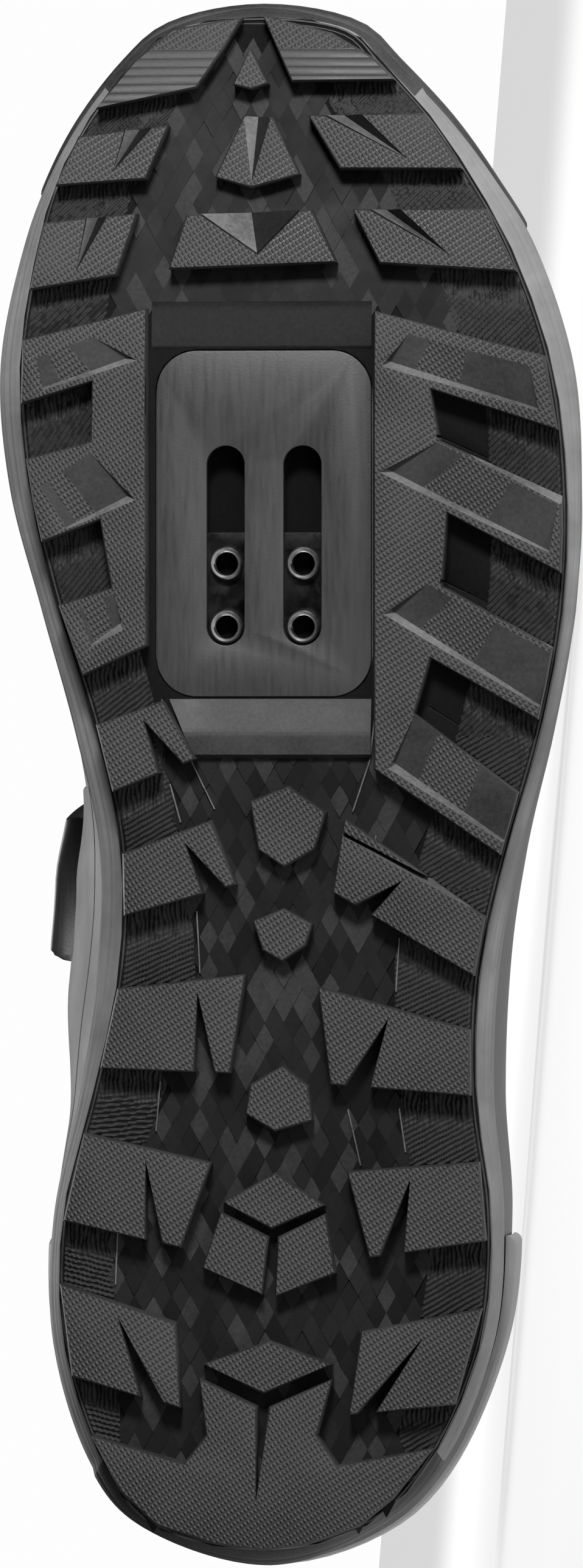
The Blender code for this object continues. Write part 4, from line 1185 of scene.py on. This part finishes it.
def groove_cutter():
    """The V groove down the middle of the first centre lug, from its front edge, with a painted highlight on one
    facet and painted shade on the other.
    """
    left, right, tip = (shoe_point(*spot) for spot in GROOVE_CORNERS)
    low = LUG_DEPTH - CENTRE_LUG_DEPTH
    return v_body(left, right, tip, GROOVE_SINK, low, lambda y: CUTTER_SKY, TREAD_PAINTED_HIGHLIGHT)


def recess_cutter(recess):
    """A wedge that sinks a sloping facet into a rail and climbs back up a narrow slanted lip, whose wall carries a
    painted highlight.
    """
    flush_in, flush_out, deep_out, deep_in = (shoe_point(*spot) for spot in recess[:4])
    rows = []
    for share in (0.0, *recess.knurled, 1.0):
        flush = flush_in.lerp(flush_out, share)
        deep = deep_in.lerp(deep_out, share)
        lip_width = RECESS_LIP_INNER + (RECESS_LIP_OUTER - RECESS_LIP_INNER) * share
        lip = deep + (deep - flush).normalized() * lip_width
        sunk = recess.depth * MM * min(1.0, 1.6 - share)
        rows.append([
            (flush.x, flush.y, rise(flush.y) - CUTTER_START),
            (deep.x, deep.y, rise(deep.y) + sunk),
            (lip.x, lip.y, rise(lip.y) - CUTTER_START),
            (lip.x, lip.y, CUTTER_SKY),
            (flush.x, flush.y, CUTTER_SKY),
        ])

    # The lip's wall gets the painted-highlight rubber.
    def finish(i, side):
        return TREAD_KNURLED if (i, side) == (1, 0) else TREAD_PAINTED_HIGHLIGHT if side == 1 else 0

    return swept(rows, finish)


def chamfer_cutter(chamfer):
    """Slants the front wall of a rail: nothing at its inner end, widest at its outer end. The slant carries a
    painted highlight.
    """
    rows = []
    for spot, width in ((chamfer.inner, chamfer.narrow), (chamfer.outer, chamfer.wide)):
        edge = shoe_point(*spot)
        past = edge + Vector((0, CHAMFER_REACH, 0))
        top = edge - Vector((0, width * PIXEL, 0))
        slope = CHAMFER_DEPTH / (width * PIXEL)
        rows.append([
            (top.x, top.y, rise(top.y) - CUTTER_START),
            (past.x, past.y, rise(past.y) + CHAMFER_DEPTH + CHAMFER_REACH * slope),
            (past.x, past.y, CUTTER_SKY),
            (top.x, top.y, CUTTER_SKY),
        ])
    return swept(rows, lambda i, side: TREAD_PAINTED_HIGHLIGHT if side == 0 else 0)


def build_notch_facets():
    """Sloping V facets in the front edges of the forefoot lugs, with a painted highlight on each medial facet and
    painted shade on each lateral one.
    """
    bodies = []
    for notch in NOTCHES:
        inner, outer, tip = (
            Vector((across * BALL_WIDTH, along * LENGTH))
            for along, across in (notch.front_in, notch.front_out, notch.tip)
        )
        left = inner.lerp(outer, notch.mouth_from)
        right = inner.lerp(outer, notch.mouth_to)
        bodies.append(v_body(left, right, tip, NOTCH_SINK, 0.0, lambda y: rise(y) + LUG_DEPTH + SUNK, 0))
    add_piece("tread_notch_facets", joined(bodies), [PAINTED_HIGHLIGHT_FACET, PAINTED_SHADE_FACET], "rubber", angle=None)


def tread_depths():
    """A function that tells whether the tread's floor is open to the ground at a point."""
    mesh = frame["nodes"]["outsole"].data.copy()
    mesh.transform(SHOE.inverted())
    tree = BVHTree.FromPolygons([v.co for v in mesh.vertices], [p.vertices for p in mesh.polygons])
    bpy.data.meshes.remove(mesh)

    def shows(x, y):
        hit = tree.ray_cast(Vector((x, y, -LUG_DEPTH)), Vector((0, 0, 1)))[0]
        return hit is not None and hit.z - rise(y) > LUG_DEPTH - OPEN_WITHIN

    return shows


def in_mosaic(x, y):
    """Whether a rhomb at this place lies in the mosaic, clear of the ribs and the cleat pocket."""
    along = y / LENGTH
    limit = smooth_zone(round(along, 4), x > 0) * BALL_WIDTH
    edge = half_width(along, x > 0) - MOSAIC_MARGIN
    front = POCKET_FRONT - (POCKET_EDGE if abs(x) < RAIL_INNER * BALL_WIDTH else RAIL_EDGE)
    beside_pocket = POCKET_REAR + POCKET_EDGE < along < front
    return 0.03 < along < 0.97 and abs(x) < min(limit, edge) and not beside_pocket


def build_mosaic():
    """Tall rhombs between the lugs, in a lattice, each tipped a little and of its own tone."""
    draw = random.Random(MOSAIC_SEED)
    bm = bmesh.new()
    half_wide = MOSAIC_WIDE / 2
    half_tall = MOSAIC_TALL / 2
    for j in range(1, int(LENGTH / half_tall)):
        for i in range(-24, 25):
            tone = draw.choice((0, 0, 0, 1, 1, 1, 1, 2, 2))
            drop = draw.uniform(0.25, 0.45) * MM
            tip_x = draw.uniform(-0.10, 0.10)
            tip_y = draw.uniform(-0.08, 0.08)
            x, y = i * half_wide, j * half_tall
            if (i + j) % 2 or not in_mosaic(x, y):
                continue
            if abs(y / LENGTH - POCKET_FRONT) < 0.03:
                drop, tip_x, tip_y = 0.3 * MM, 0.0, 0.0
            top = []
            for across, ahead in ((-1, 0), (0, -1), (1, 0), (0, 1)):
                tipped = across * half_wide * tip_x + ahead * half_tall * tip_y
                spot_y = y + ahead * half_tall
                height = rise(spot_y) + LUG_DEPTH - drop - tipped
                top.append(bm.verts.new((x + across * half_wide, spot_y, height)))
            base = [bm.verts.new((v.co.x, v.co.y, rise(v.co.y) + LUG_DEPTH + SUNK)) for v in top]
            bm.faces.new(top).material_index = tone
            bm.faces.new(base[::-1])
            banded(bm, [top, base], material=lambda row, place: tone)
    bmesh.ops.recalc_face_normals(bm, faces=bm.faces)
    add_piece("tread_mosaic", bm, MOSAIC_TONES, "rubber", angle=None)


def field_shares(open_cells):
    """For each open cell of a gap, its place from the gap's front (0) to its rear (1)."""
    shares = np.zeros(open_cells.shape)
    rows, columns = open_cells.shape
    for j in range(columns):
        i = rows - 1
        while i >= 0:
            if not open_cells[i, j]:
                i -= 1
                continue
            front = i
            while i >= 0 and open_cells[i, j]:
                i -= 1
            shares[i + 1:front + 1, j] = np.linspace(1, 0, front - i)
    return shares


def swell(turns):
    """A wave from 0 to 1 over a number of turns."""
    return 0.5 + 0.5 * math.sin(2 * math.pi * turns)


def rib_crest(x, y, angle, share):
    """The ribs' height from 0 to 1: slanted lines, broken into wavy dashes at the gap's front."""
    turn = math.radians(angle)
    swirl = noise.noise(Vector((x * 420, y * 420, 3.1)))
    lines = swell((math.sin(turn) * x + math.cos(turn) * y) / RIB_PITCH + swirl * 0.16)
    wave = noise.noise(Vector((x * 500, y * 380, 7.7)))
    breaks = blend(-0.15, 0.15, noise.noise(Vector((x * 900, y * 520, 1.3))))
    dashes = swell(x / DASH_PITCH + wave * 0.75) * (0.35 + 0.65 * breaks)
    ordered = blend(0.28, 0.50, share + 0.10 * swirl)
    return lines * ordered + dashes * (1 - ordered)


def build_rib_field(medial, shows):
    """Fine slanted ribs on the floor of one side's gaps, with swirls towards each gap's front."""
    side = 1 if medial else -1
    first = int(LENGTH * 0.05 / RIB_CELL)
    rows = int(LENGTH * 0.955 / RIB_CELL) - first
    bm = bmesh.new()

    def place(i, j):
        y = (first + i) * RIB_CELL
        inner = smooth_zone(round(y / LENGTH, 4), medial) * BALL_WIDTH
        outer = half_width(y / LENGTH, medial) - RIB_MARGIN
        return side * (inner + (outer - inner) * j / RIB_COLUMNS), y, outer - inner

    open_cells = np.zeros((rows, RIB_COLUMNS), dtype=bool)
    for i in range(rows):
        for j in range(RIB_COLUMNS):
            x, y, wide = place(i + 0.5, j + 0.5)
            open_cells[i, j] = wide > 2 * MM and shows(x, y)
    shares = field_shares(open_cells)

    @lru_cache(maxsize=None)
    def corner(i, j):
        x, y, _ = place(i, j)
        gap = next(gap for gap in RIB_GAPS if HEEL_ROW - y / PIXEL <= gap.row)
        share = shares[min(i, rows - 1), min(j, RIB_COLUMNS - 1)]
        angle = gap.medial if medial else gap.lateral
        crest = 0.0 if j in (0, RIB_COLUMNS) else rib_crest(x, y, angle, share)
        return bm.verts.new((x, y, rise(y) + LUG_DEPTH - RIB_FOOT - RIB_HEIGHT * crest))

    for i, j in np.argwhere(open_cells).tolist():
        bm.faces.new([corner(i, j), corner(i + 1, j), corner(i + 1, j + 1), corner(i, j + 1)])
    sunk_in_base(bm, RIB_SUNK)
    add_piece(f"tread_ribs_{'medial' if medial else 'lateral'}", bm, [RIB_RUBBER_PAINTED_SHADE], "rubber", angle=60)


@lru_cache(maxsize=None)
def smooth_zone(along, medial):
    return smooth(ZONES, "along", "medial" if medial else "lateral", along)


def build_pocket():
    """The smooth ramp behind the plate and the apron before it, the apron in the darker painted-shade rubber."""
    bodies = []
    for steps, index in ((POCKET_RAMP, 0), (POCKET_APRON, 1)):
        rows = [np.linspace(first, second, 7)[:-1] for first, second in zip(steps, steps[1:])]
        bm = bmesh.new()
        verts = []
        for row, proud in np.vstack([*rows, steps[-1:]]):
            medial = np.interp(row, *zip(*RAMP_MEDIAL)) if steps is POCKET_RAMP else POCKET_MEDIAL
            line = []
            for column in np.linspace(medial, POCKET_LATERAL, 25):
                spot = shoe_point(column, row)
                line.append(bm.verts.new((spot.x, spot.y, rise(spot.y) + LUG_DEPTH - proud * MM)))
            verts.append(line)
        banded(bm, verts, closed=False)
        sunk_in_base(bm, SUNK)
        for face in bm.faces:
            face.material_index = index
        bodies.append(bm)
    add_piece("pocket_ramp", joined(bodies), [POCKET_RUBBER, PAINTED_SHADE_FACET], "rubber", angle=50)


def build_lip_lines():
    """Two thin raised lines that follow the tread's edge between the lugs."""
    lines = []
    for inset, radius in ((0.55, 0.26), (1.35, 0.20)):
        points = []
        for reach in np.linspace(-1, 1, 321):
            ahead = edge_point(reach + 0.004, 0.0) - edge_point(reach - 0.004, 0.0)
            inward = np.array([ahead[1], -ahead[0]]) / np.linalg.norm(ahead)
            x, y = edge_point(reach, 0.0) + inward * inset * MM
            points.append((x, y, rise(y) + LUG_DEPTH))
        lines.append(tube(points, radius * MM, 6))
    add_piece("tread_lip_lines", joined(lines), [RUBBER], "rubber", angle=60)


def build_floor_lines():
    """Thin moulded lines on the tread's floor that bound the mosaic and the ribbed fields, painted bright as a
    highlight.
    """
    lines = []
    for line in FLOOR_LINES:
        points = []
        for start, end in zip(line, line[1:]):
            for t in np.linspace(0, 1, 9)[:-1]:
                spot = shoe_point(*start).lerp(shoe_point(*end), t)
                points.append((spot.x, spot.y, rise(spot.y) + LUG_DEPTH - LINE_HEIGHT))
        lines.append(tube(points, 0.16 * MM, 6))
    add_piece("tread_floor_lines", joined(lines), [LINE_RUBBER_PAINTED_HIGHLIGHT], "rubber", angle=60)


def midsole_rim(share):
    """The midsole's profile with its moulded ribs, at a share of its thickness."""
    rim = np.interp(share, [row.height for row in MIDSOLE_SIDE], [row.rim for row in MIDSOLE_SIDE])
    ribs = 0.030 * math.sin(share * 2 * math.pi * 13)
    return rim + (ribs if 0.06 < share < 0.95 else 0.0)


def toe_wrap(reach):
    """1 where the dark rubber wraps the toe, 0 past its ends."""
    return 1.0 if -0.105 < reach < 0.100 else 0.0


def heel_wrap(reach):
    """1 where the dark rubber wraps the heel, 0 past its ends."""
    return 1.0 if 1 - abs(reach) < 0.115 else 0.0


def build_midsole():
    """The grey midsole with fine ribs round its side, dark where the tread wraps toe and heel."""
    heights = np.concatenate([[0.0, 0.03], np.linspace(0.06, 0.96, 74), [0.985, 1.0]])
    reaches = np.linspace(-1, 1, 521)[:-1]
    bm = bmesh.new()
    loops = []
    for share in heights:
        loop = []
        for reach in reaches:
            wrap = 0.16 * toe_wrap(reach) + 0.14 * heel_wrap(reach)
            rim = midsole_rim(share) + (wrap if 0.04 < share < 0.98 else 0.0)
            if share in (0.0, 1.0):
                rim = rim - 0.06
            x, y = edge_point(reach, rim)
            bottom = base_top(y) + GAP
            loop.append(bm.verts.new((x, y, bottom + (feather(y) - bottom) * share)))
        loops.append(loop)
    stacked(bm, loops, lambda i, j: 1 if toe_wrap(reaches[j]) + heel_wrap(reaches[j]) > 0.5 else 0)
    midsole = add_piece("midsole_band", bm, [FOAM, RUBBER, PAINTED_SHADE_HOLLOW], "foam", replaces=["midsole"])
    x, y = nut_place()
    half = SLOT_SPACING / 2 + NUT_BORDER + CAVITY_CLEARANCE
    travel = SLOT_LENGTH - SLOT_WIDTH - ROW_SPACING
    front = y + travel + ROW_SPACING / 2 + NUT_BORDER + CAVITY_CLEARANCE
    rear = y - ROW_SPACING / 2 - NUT_BORDER - CAVITY_CLEARANCE
    top = LUG_DEPTH + BASE + GAP + NUT_WALL + CAVITY_CLEARANCE
    room = [(x - half, rear), (x + half, rear), (x + half, front), (x - half, front)]
    # The hollow's faces take slot 2, painted near-black as shade inside the hollow.
    hollow = prism(room, LUG_DEPTH, top)
    for face in hollow.faces:
        face.material_index = 2
    cut_by(midsole, hollow)


def plate_centre():
    return PLATE_ACROSS * BALL_WIDTH, PLATE_ALONG * LENGTH


def slot_centres():
    x, y = plate_centre()
    return [(x + side * SLOT_SPACING / 2, y - SLOT_BACK) for side in (1, -1)]


def nut_place():
    x, y = plate_centre()
    rear_hole = y - SLOT_BACK - SLOT_LENGTH / 2 + SLOT_WIDTH / 2
    return x, rear_hole + ROW_SPACING / 2


def soften_edges(obj, width):
    bevelled(obj, width, 3, 30)
    apply_modifiers(obj)
    obj.data.shade_smooth()
    obj.data.set_sharp_from_angle(angle=math.radians(40))


def build_cleat_plate():
    x, y = plate_centre()
    border = rounded_rectangle(x, y, PLATE_WIDTH - 2 * GAP, PLATE_LENGTH - 2 * GAP, PLATE_CORNER - GAP)
    body = prism(border, LUG_DEPTH, LUG_DEPTH + BASE)
    plate = add_piece("cleat_plate_satin", body, [NYLON], "nylon", replaces=["cleat_plate"])
    for slot_x, slot_y in slot_centres():
        slot = rounded_rectangle(slot_x, slot_y, SLOT_WIDTH, SLOT_LENGTH, SLOT_WIDTH / 2 * 0.999)
        cut_by(plate, prism(slot, 0, 2 * (LUG_DEPTH + BASE)))
    soften_edges(plate, 0.35 * MM)


def threaded_boss(x, y, low, high):
    """A round boss with a rounded lip and a thread cut in its bore."""
    outer = BOSS / 2
    bore = THREAD_BORE / 2
    profile = [(outer, high), (outer, low + 0.25 * MM), (outer - 0.25 * MM, low)]
    profile += [(bore + 0.55 * MM, low), (bore + 0.12 * MM, low + 0.35 * MM)]
    pitch = 0.8 * MM
    for turn in range(int((high - low - 0.5 * MM) / pitch)):
        start = low + 0.45 * MM + turn * pitch
        profile += [(bore - 0.05 * MM, start), (bore + 0.30 * MM, start + pitch * 0.5)]
    profile += [(bore, high)]
    segments = 48
    bm = bmesh.new()
    rings = []
    for step in range(segments):
        angle = 2 * math.pi * step / segments
        ring = []
        for i, (radius, z) in enumerate(profile):
            thread = pitch * step / segments if 4 < i < len(profile) - 1 else 0.0
            spot = (x + radius * math.cos(angle), y + radius * math.sin(angle), min(z + thread, high))
            ring.append(bm.verts.new(spot))
        rings.append(ring)
    banded(bm, [*rings, rings[0]])
    bmesh.ops.recalc_face_normals(bm, faces=bm.faces)
    return bm


def build_nut_plate():
    x, y = nut_place()
    width = SLOT_SPACING + 2 * NUT_BORDER
    length = ROW_SPACING + 2 * NUT_BORDER
    low = LUG_DEPTH + BASE + GAP
    body = prism(rounded_rectangle(x, y, width, length, NUT_BORDER / 2, 8), low, low + NUT_WALL)
    nut = add_piece("nut_plate_steel", body, [STEEL_DARK], "steel", "nut_plate", ["nut_plate"])
    bosses = []
    radius = BOSS / 2 - 0.4 * MM
    turns = 2 * math.pi * np.arange(32) / 32
    for side_x, side_y in ((1, 1), (1, -1), (-1, 1), (-1, -1)):
        centre_x = x + side_x * SLOT_SPACING / 2
        centre_y = y + side_y * ROW_SPACING / 2
        circle = zip(centre_x + radius * np.cos(turns), centre_y + radius * np.sin(turns))
        cut_by(nut, prism(circle, low - NUT_WALL, low + 3 * NUT_WALL))
        bosses.append(threaded_boss(centre_x, centre_y, low - BOSS_RISE, low + NUT_WALL))
    soften_edges(nut, 0.25 * MM)
    add_piece("nut_plate_threads", joined(bosses), [STEEL], "steel", body="nut_plate")


# Upper
def crease(reach, up):
    """Soft troughs over the toe joint on both sides of the vamp, in metres of depth."""
    depth = 0.0
    for place, width, strength in ((0.235, 0.010, 0.55), (0.268, 0.012, 0.8), (0.305, 0.010, 0.5)):
        bend = place + 0.05 * (up - 0.6) ** 2
        away = (abs(reach) - bend) / width
        fade = blend(0.25, 0.60, up) * (1 - blend(0.93, 1.0, up))
        depth += strength * MM * math.exp(-away * away) * fade
    return depth


def build_upper():
    """The hollow upper: knit outside, lining inside."""
    columns = np.concatenate([np.linspace(0, VAMP, 60), np.linspace(VAMP, 1, 150)[1:]])
    reaches = np.concatenate([-columns[::-1], columns[1:]])
    bm = bmesh.new()
    outer = []
    inner = []
    for up in np.concatenate([np.linspace(0, 0.92, 40), np.linspace(0.92, 1, 10)[1:]]):
        outer.append([])
        inner.append([])
        for reach in reaches:
            normal = wall_normal(reach, up)
            point = wall(reach, up) - normal * crease(reach, up)
            outer[-1].append(bm.verts.new(point))
            inner[-1].append(bm.verts.new(point - normal * WALL))
    banded(bm, outer, closed=False)
    banded(bm, inner, closed=False, material=lambda i, j: 1)
    for row in (0, -1):
        banded(bm, [outer[row], inner[row]], closed=False)
    bmesh.ops.remove_doubles(bm, verts=bm.verts, dist=0.01 * MM)
    bmesh.ops.recalc_face_normals(bm, faces=bm.faces)
    add_piece("upper_knit", bm, [MESH, LINING], "upper_fabric", replaces=["upper"], angle=60)


def toe_guard_height(reach):
    return 0.22 + 0.30 * math.cos(math.pi / 2 * min(abs(reach) / 0.2, 1))


def counter_height(reach):
    return 0.20 + 0.42 * math.cos(math.pi / 2 * min(abs(1 - abs(reach)) / 0.24, 1))


def rand_height(reach):
    return 0.17 + 0.05 * math.sin(abs(reach) * 9)


def eyestay_low(reach):
    return 0.80 + 0.05 * math.sin((abs(reach) - 0.32) * 14)


def quarter_low(reach):
    return rand_height(reach) - 0.05


def quarter_high(reach):
    return 0.42 + 0.40 * blend(0.50, 0.62, abs(reach)) - 0.34 * blend(0.64, 0.80, abs(reach))


def level(height):
    """A border at the same height all the way."""
    return lambda reach: height


def build_overlays():
    """Skins welded or sewn on the knit: toe guard, heel counter, side panels, throat edges."""
    def overlay(name, reaches, low, high, lift, rows, thickness, border, material, slot, replaces=()):
        skin = soft_sheet(wall_patch(reaches, low, high, lift, rows), thickness, border, flip=True)
        add_piece(name, skin, [material], slot, replaces=replaces)

    welded = GUARD_WALL, 1.6 * MM
    sewn = SEWN_WALL, 0.8 * MM
    reaches = closer_to_ends(70, -0.20, 0.17)
    overlay("toe_guard_rubber", reaches, level(0.015), toe_guard_height, OVERLAY_GAP, 16, *welded,
            RUBBER, "rubber", ["toe_guard"])
    reaches = closer_to_ends(80, 0.76, 1.24)
    overlay("heel_counter_shell", reaches, level(0.015), counter_height, OVERLAY_GAP, 18, *welded,
            SHELL, "shell", ["heel_counter"])
    for side, name in ((1, "medial"), (-1, "lateral")):
        reaches = side * closer_to_ends(110, 0.165, 0.775)
        overlay(f"rand_{name}", reaches, level(0.010), rand_height, SEWN_LIFT, 10, 0.8 * MM, 0.7 * MM,
                SKIN, "shell")
        reaches = side * closer_to_ends(90, 0.325, 0.60)
        overlay(f"throat_edge_{name}", reaches, eyestay_low, level(0.992), SEWN_LIFT, 10, *sewn,
                SKIN_DARK, "shell")
        reaches = side * closer_to_ends(90, 0.50, 0.80)
        overlay(f"quarter_{name}", reaches, quarter_low, quarter_high, SEWN_LIFT, 14, *sewn, SKIN, "shell")


def build_stitching():
    """Rows of stitches along the throat's edges, the quarters and the collar."""
    rows = []
    for side in (1, -1):
        for start, end, count, up, lift in (
            (0.335, 0.595, 90, lambda reach: eyestay_low(reach) + 0.022, SEWN_LIFT + SEWN_WALL),
            (0.335, 0.595, 90, level(0.965), SEWN_LIFT + SEWN_WALL),
            (0.515, 0.785, 90, lambda reach: quarter_high(reach) - 0.025, SEWN_LIFT + SEWN_WALL),
            (0.57, 1.0, 120, level(0.945), SEWN_LIFT),
        ):
            rows.append(wall_stitches(side * np.linspace(start, end, count), up, lift))
    add_piece("seam_stitches", joined(rows), [THREAD], "upper_fabric", angle=80)


def build_collar():
    """A padded roll round the collar, from one side of the throat to the other."""
    path = []
    for reach in np.linspace(THROAT_TOP - 0.02, 2 - THROAT_TOP + 0.02, 150):
        wrapped = reach if reach <= 1 else reach - 2
        path.append(lifted(wrapped, 0.992, -WALL / 2))
    collar = add_piece("collar_roll", tube(path, 2.5 * MM, 14, taper=7), [LINING], "lining", angle=80)


def build_tongue():
    """The padded tongue, with a nose under the vamp and a flatter crown above the throat."""
    lift = -WALL - TONGUE_GAP - TONGUE_WALL
    reaches = np.linspace(VAMP + 0.03, THROAT_TOP - 0.025, 30)
    sections = []
    for reach in reaches:
        lap = TONGUE_LAP + (1 - TONGUE_LAP) / 4 * (reach - VAMP) / (THROAT_TOP - VAMP)
        sections.append(np.array(across_throat(reach, lap, lap, lift)))
    front_slope = wall(reaches[0], 1) - wall(reaches[5], 1)
    forward = np.array([0, 1, min(front_slope[2] / front_slope[1], 0)])
    nose = []
    for share in (1.0, 0.75, 0.5, 0.25):
        nose.append(sections[0] + (forward * TONGUE_NOSE - np.array([0, 0, OVERLAY_GAP])) * share)
    tip = (sections[-1] - sections[-5]).mean(axis=0)
    direction = tip / np.linalg.norm(tip)
    climbs, widths, sags = zip(Crown(0, 1, 1), *TONGUE_CROWN)
    crown = []
    for climb in np.linspace(0.01, climbs[-1], 16):
        row = sections[-1] + direction * climb * COLLAR_HEIGHT
        middle = row[:, 0].mean()
        row[:, 0] = middle + (row[:, 0] - middle) * np.interp(climb, climbs, widths)
        ridge = row[:, 2].max()
        row[:, 2] = ridge + (row[:, 2] - ridge) * np.interp(climb, climbs, sags)
        crown.append(row)
    pad = soft_sheet([*nose, *sections, *crown], TONGUE_WALL, 3.0 * MM)
    tongue = add_piece("tongue_pad", pad, [MESH], "upper_fabric", replaces=["tongue"], angle=80)


def build_straps():
    for strap in STRAPS:
        rows = []
        for shift in closer_to_ends(15, -0.5, 0.5) * strap.width * STRAP_WIDTH:
            ends = strap.lateral_end, strap.medial_end
            rows.append(across_throat(strap.reach, *ends, STRAP_GAP, shift, strap.slant * STRAP_SLANT))
        band = soft_sheet(np.array(rows), STRAP_WALL, 0.9 * MM, flip=True)
        add_piece(f"{strap.name}_web", band, [WEBBING], "webbing", replaces=[strap.name])
    instep = STRAPS[-1]
    half = instep.width * STRAP_WIDTH / 2 + KEEPER_OVERHANG
    rows = []
    for shift in closer_to_ends(22, -half, half):
        row = []
        for up in closer_to_ends(22, *KEEPER_ENDS):
            back = shift + slanted(instep.medial_end, instep.slant * STRAP_SLANT, up)
            row.append(lifted(beside(instep.reach, up, back), up, OVERLAY_GAP))
        rows.append(row)
    keeper = soft_sheet(np.array(rows), KEEPER_WALL, 1.8 * MM)
    add_piece("strap_keeper_cover", keeper, [NYLON_DARK], "nylon", replaces=["strap_keeper"])


def build_insole():
    """The footbed, with its rounded edge."""
    bm = bmesh.new()
    loops = []
    for share, extra in ((0.0, 0.4), (0.15, 0.1), (0.5, 0.0), (0.8, 0.15), (0.95, 0.6), (1.0, 1.4)):
        loop = []
        for reach in np.linspace(-1, 1, 301)[:-1]:
            x, y = edge_point(reach, FOOT_LEVEL)
            middle_y = min(max(y, LENGTH * 0.15), LENGTH * 0.82)
            away = np.array([x, y - middle_y])
            margin = 1.25 * (WALL + 2 * GAP) + extra * MM
            x, y = np.array([0, middle_y]) + away * (1 - margin / np.linalg.norm(away))
            loop.append(bm.verts.new((x, y, feather(y) + 2 * GAP + share * INSOLE)))
        loops.append(loop)
    add_piece("insole_bed", stacked(bm, loops), [LINING], "lining", replaces=["insole"], angle=50)


# Stage, camera and lights
def build_stage():
    """A plain pale floor, as a wide disc."""
    bm = bmesh.new()
    bmesh.ops.create_circle(bm, cap_ends=True, segments=64, radius=FLOOR_RADIUS)
    mesh = bpy.data.meshes.new("studio_floor")
    bm.to_mesh(mesh)
    bm.free()
    mesh.materials.append(PAPER)
    floor = bpy.data.objects.new("studio_floor", mesh)
    bpy.context.scene.collection.objects.link(floor)


def aimed(obj, place, target, up):
    """Puts an object at a place, looking at a target with its top towards up."""
    back = (place - target).normalized()
    right = up.cross(back).normalized()
    top = back.cross(right)
    turn = Matrix((right, top, back)).transposed().to_4x4()
    obj.matrix_world = Matrix.Translation(place) @ turn


def build_camera():
    """Square on the sole, a little round to the lateral side, with the toe at the top."""
    lean = math.radians(CAMERA_LEAN)
    target = Vector(CAMERA_TARGET)
    place = target + Vector((-math.sin(lean), 0, -math.cos(lean))) * CAMERA_DISTANCE
    data = bpy.data.cameras.new("camera")
    data.sensor_width = CAMERA_SENSOR
    data.lens = CAMERA_SENSOR * CAMERA_DISTANCE * CAMERA_TRIM / (PHOTO_ROWS * PIXEL)
    camera = bpy.data.objects.new("camera", data)
    bpy.context.scene.collection.objects.link(camera)
    aimed(camera, place, target, Vector((0, 1, 0)))
    camera.matrix_world = SHOE @ camera.matrix_world
    bpy.context.scene.camera = camera


def build_light(name, place, size, power):
    data = bpy.data.lights.new(name, "AREA")
    data.shape = "DISK"
    data.size = size
    data.energy = power
    light = bpy.data.objects.new(name, data)
    bpy.context.scene.collection.objects.link(light)
    aimed(light, Vector(place), Vector(LIGHT_TARGET), Vector((1, 0, 0)))
    light.matrix_world = SHOE @ light.matrix_world


def build_lights():
    """A low key from the toe's side, one from behind for the floor, and a dim white room."""
    build_light("key", KEY_PLACE, KEY_SIZE, KEY_POWER)
    build_light("top", TOP_PLACE, TOP_SIZE, TOP_POWER)
    world = bpy.data.worlds.new("studio")
    bpy.context.scene.world = world
    world.use_nodes = True
    tree = world.node_tree
    background = tree.nodes["Background"]
    background.inputs["Color"].default_value = (1, 1, 1, 1)
    seen = tree.nodes.new("ShaderNodeLightPath").outputs["Is Camera Ray"]
    strength = ramp_between(tree, seen, ROOM_LIGHT, ROOM_SEEN, 0, 1)
    tree.links.new(strength, background.inputs["Strength"])
    bpy.context.scene.view_settings.view_transform = "Standard"


def main():
    shows = tread_depths()
    build_tread()
    build_notch_facets()
    build_mosaic()
    build_pocket()
    build_rib_field(True, shows)
    build_rib_field(False, shows)
    build_lip_lines()
    build_floor_lines()
    build_midsole()
    build_cleat_plate()
    build_nut_plate()
    build_upper()
    build_overlays()
    build_stitching()
    build_collar()
    build_tongue()
    build_straps()
    build_insole()
    build_stage()
    build_camera()
    build_lights()


main()
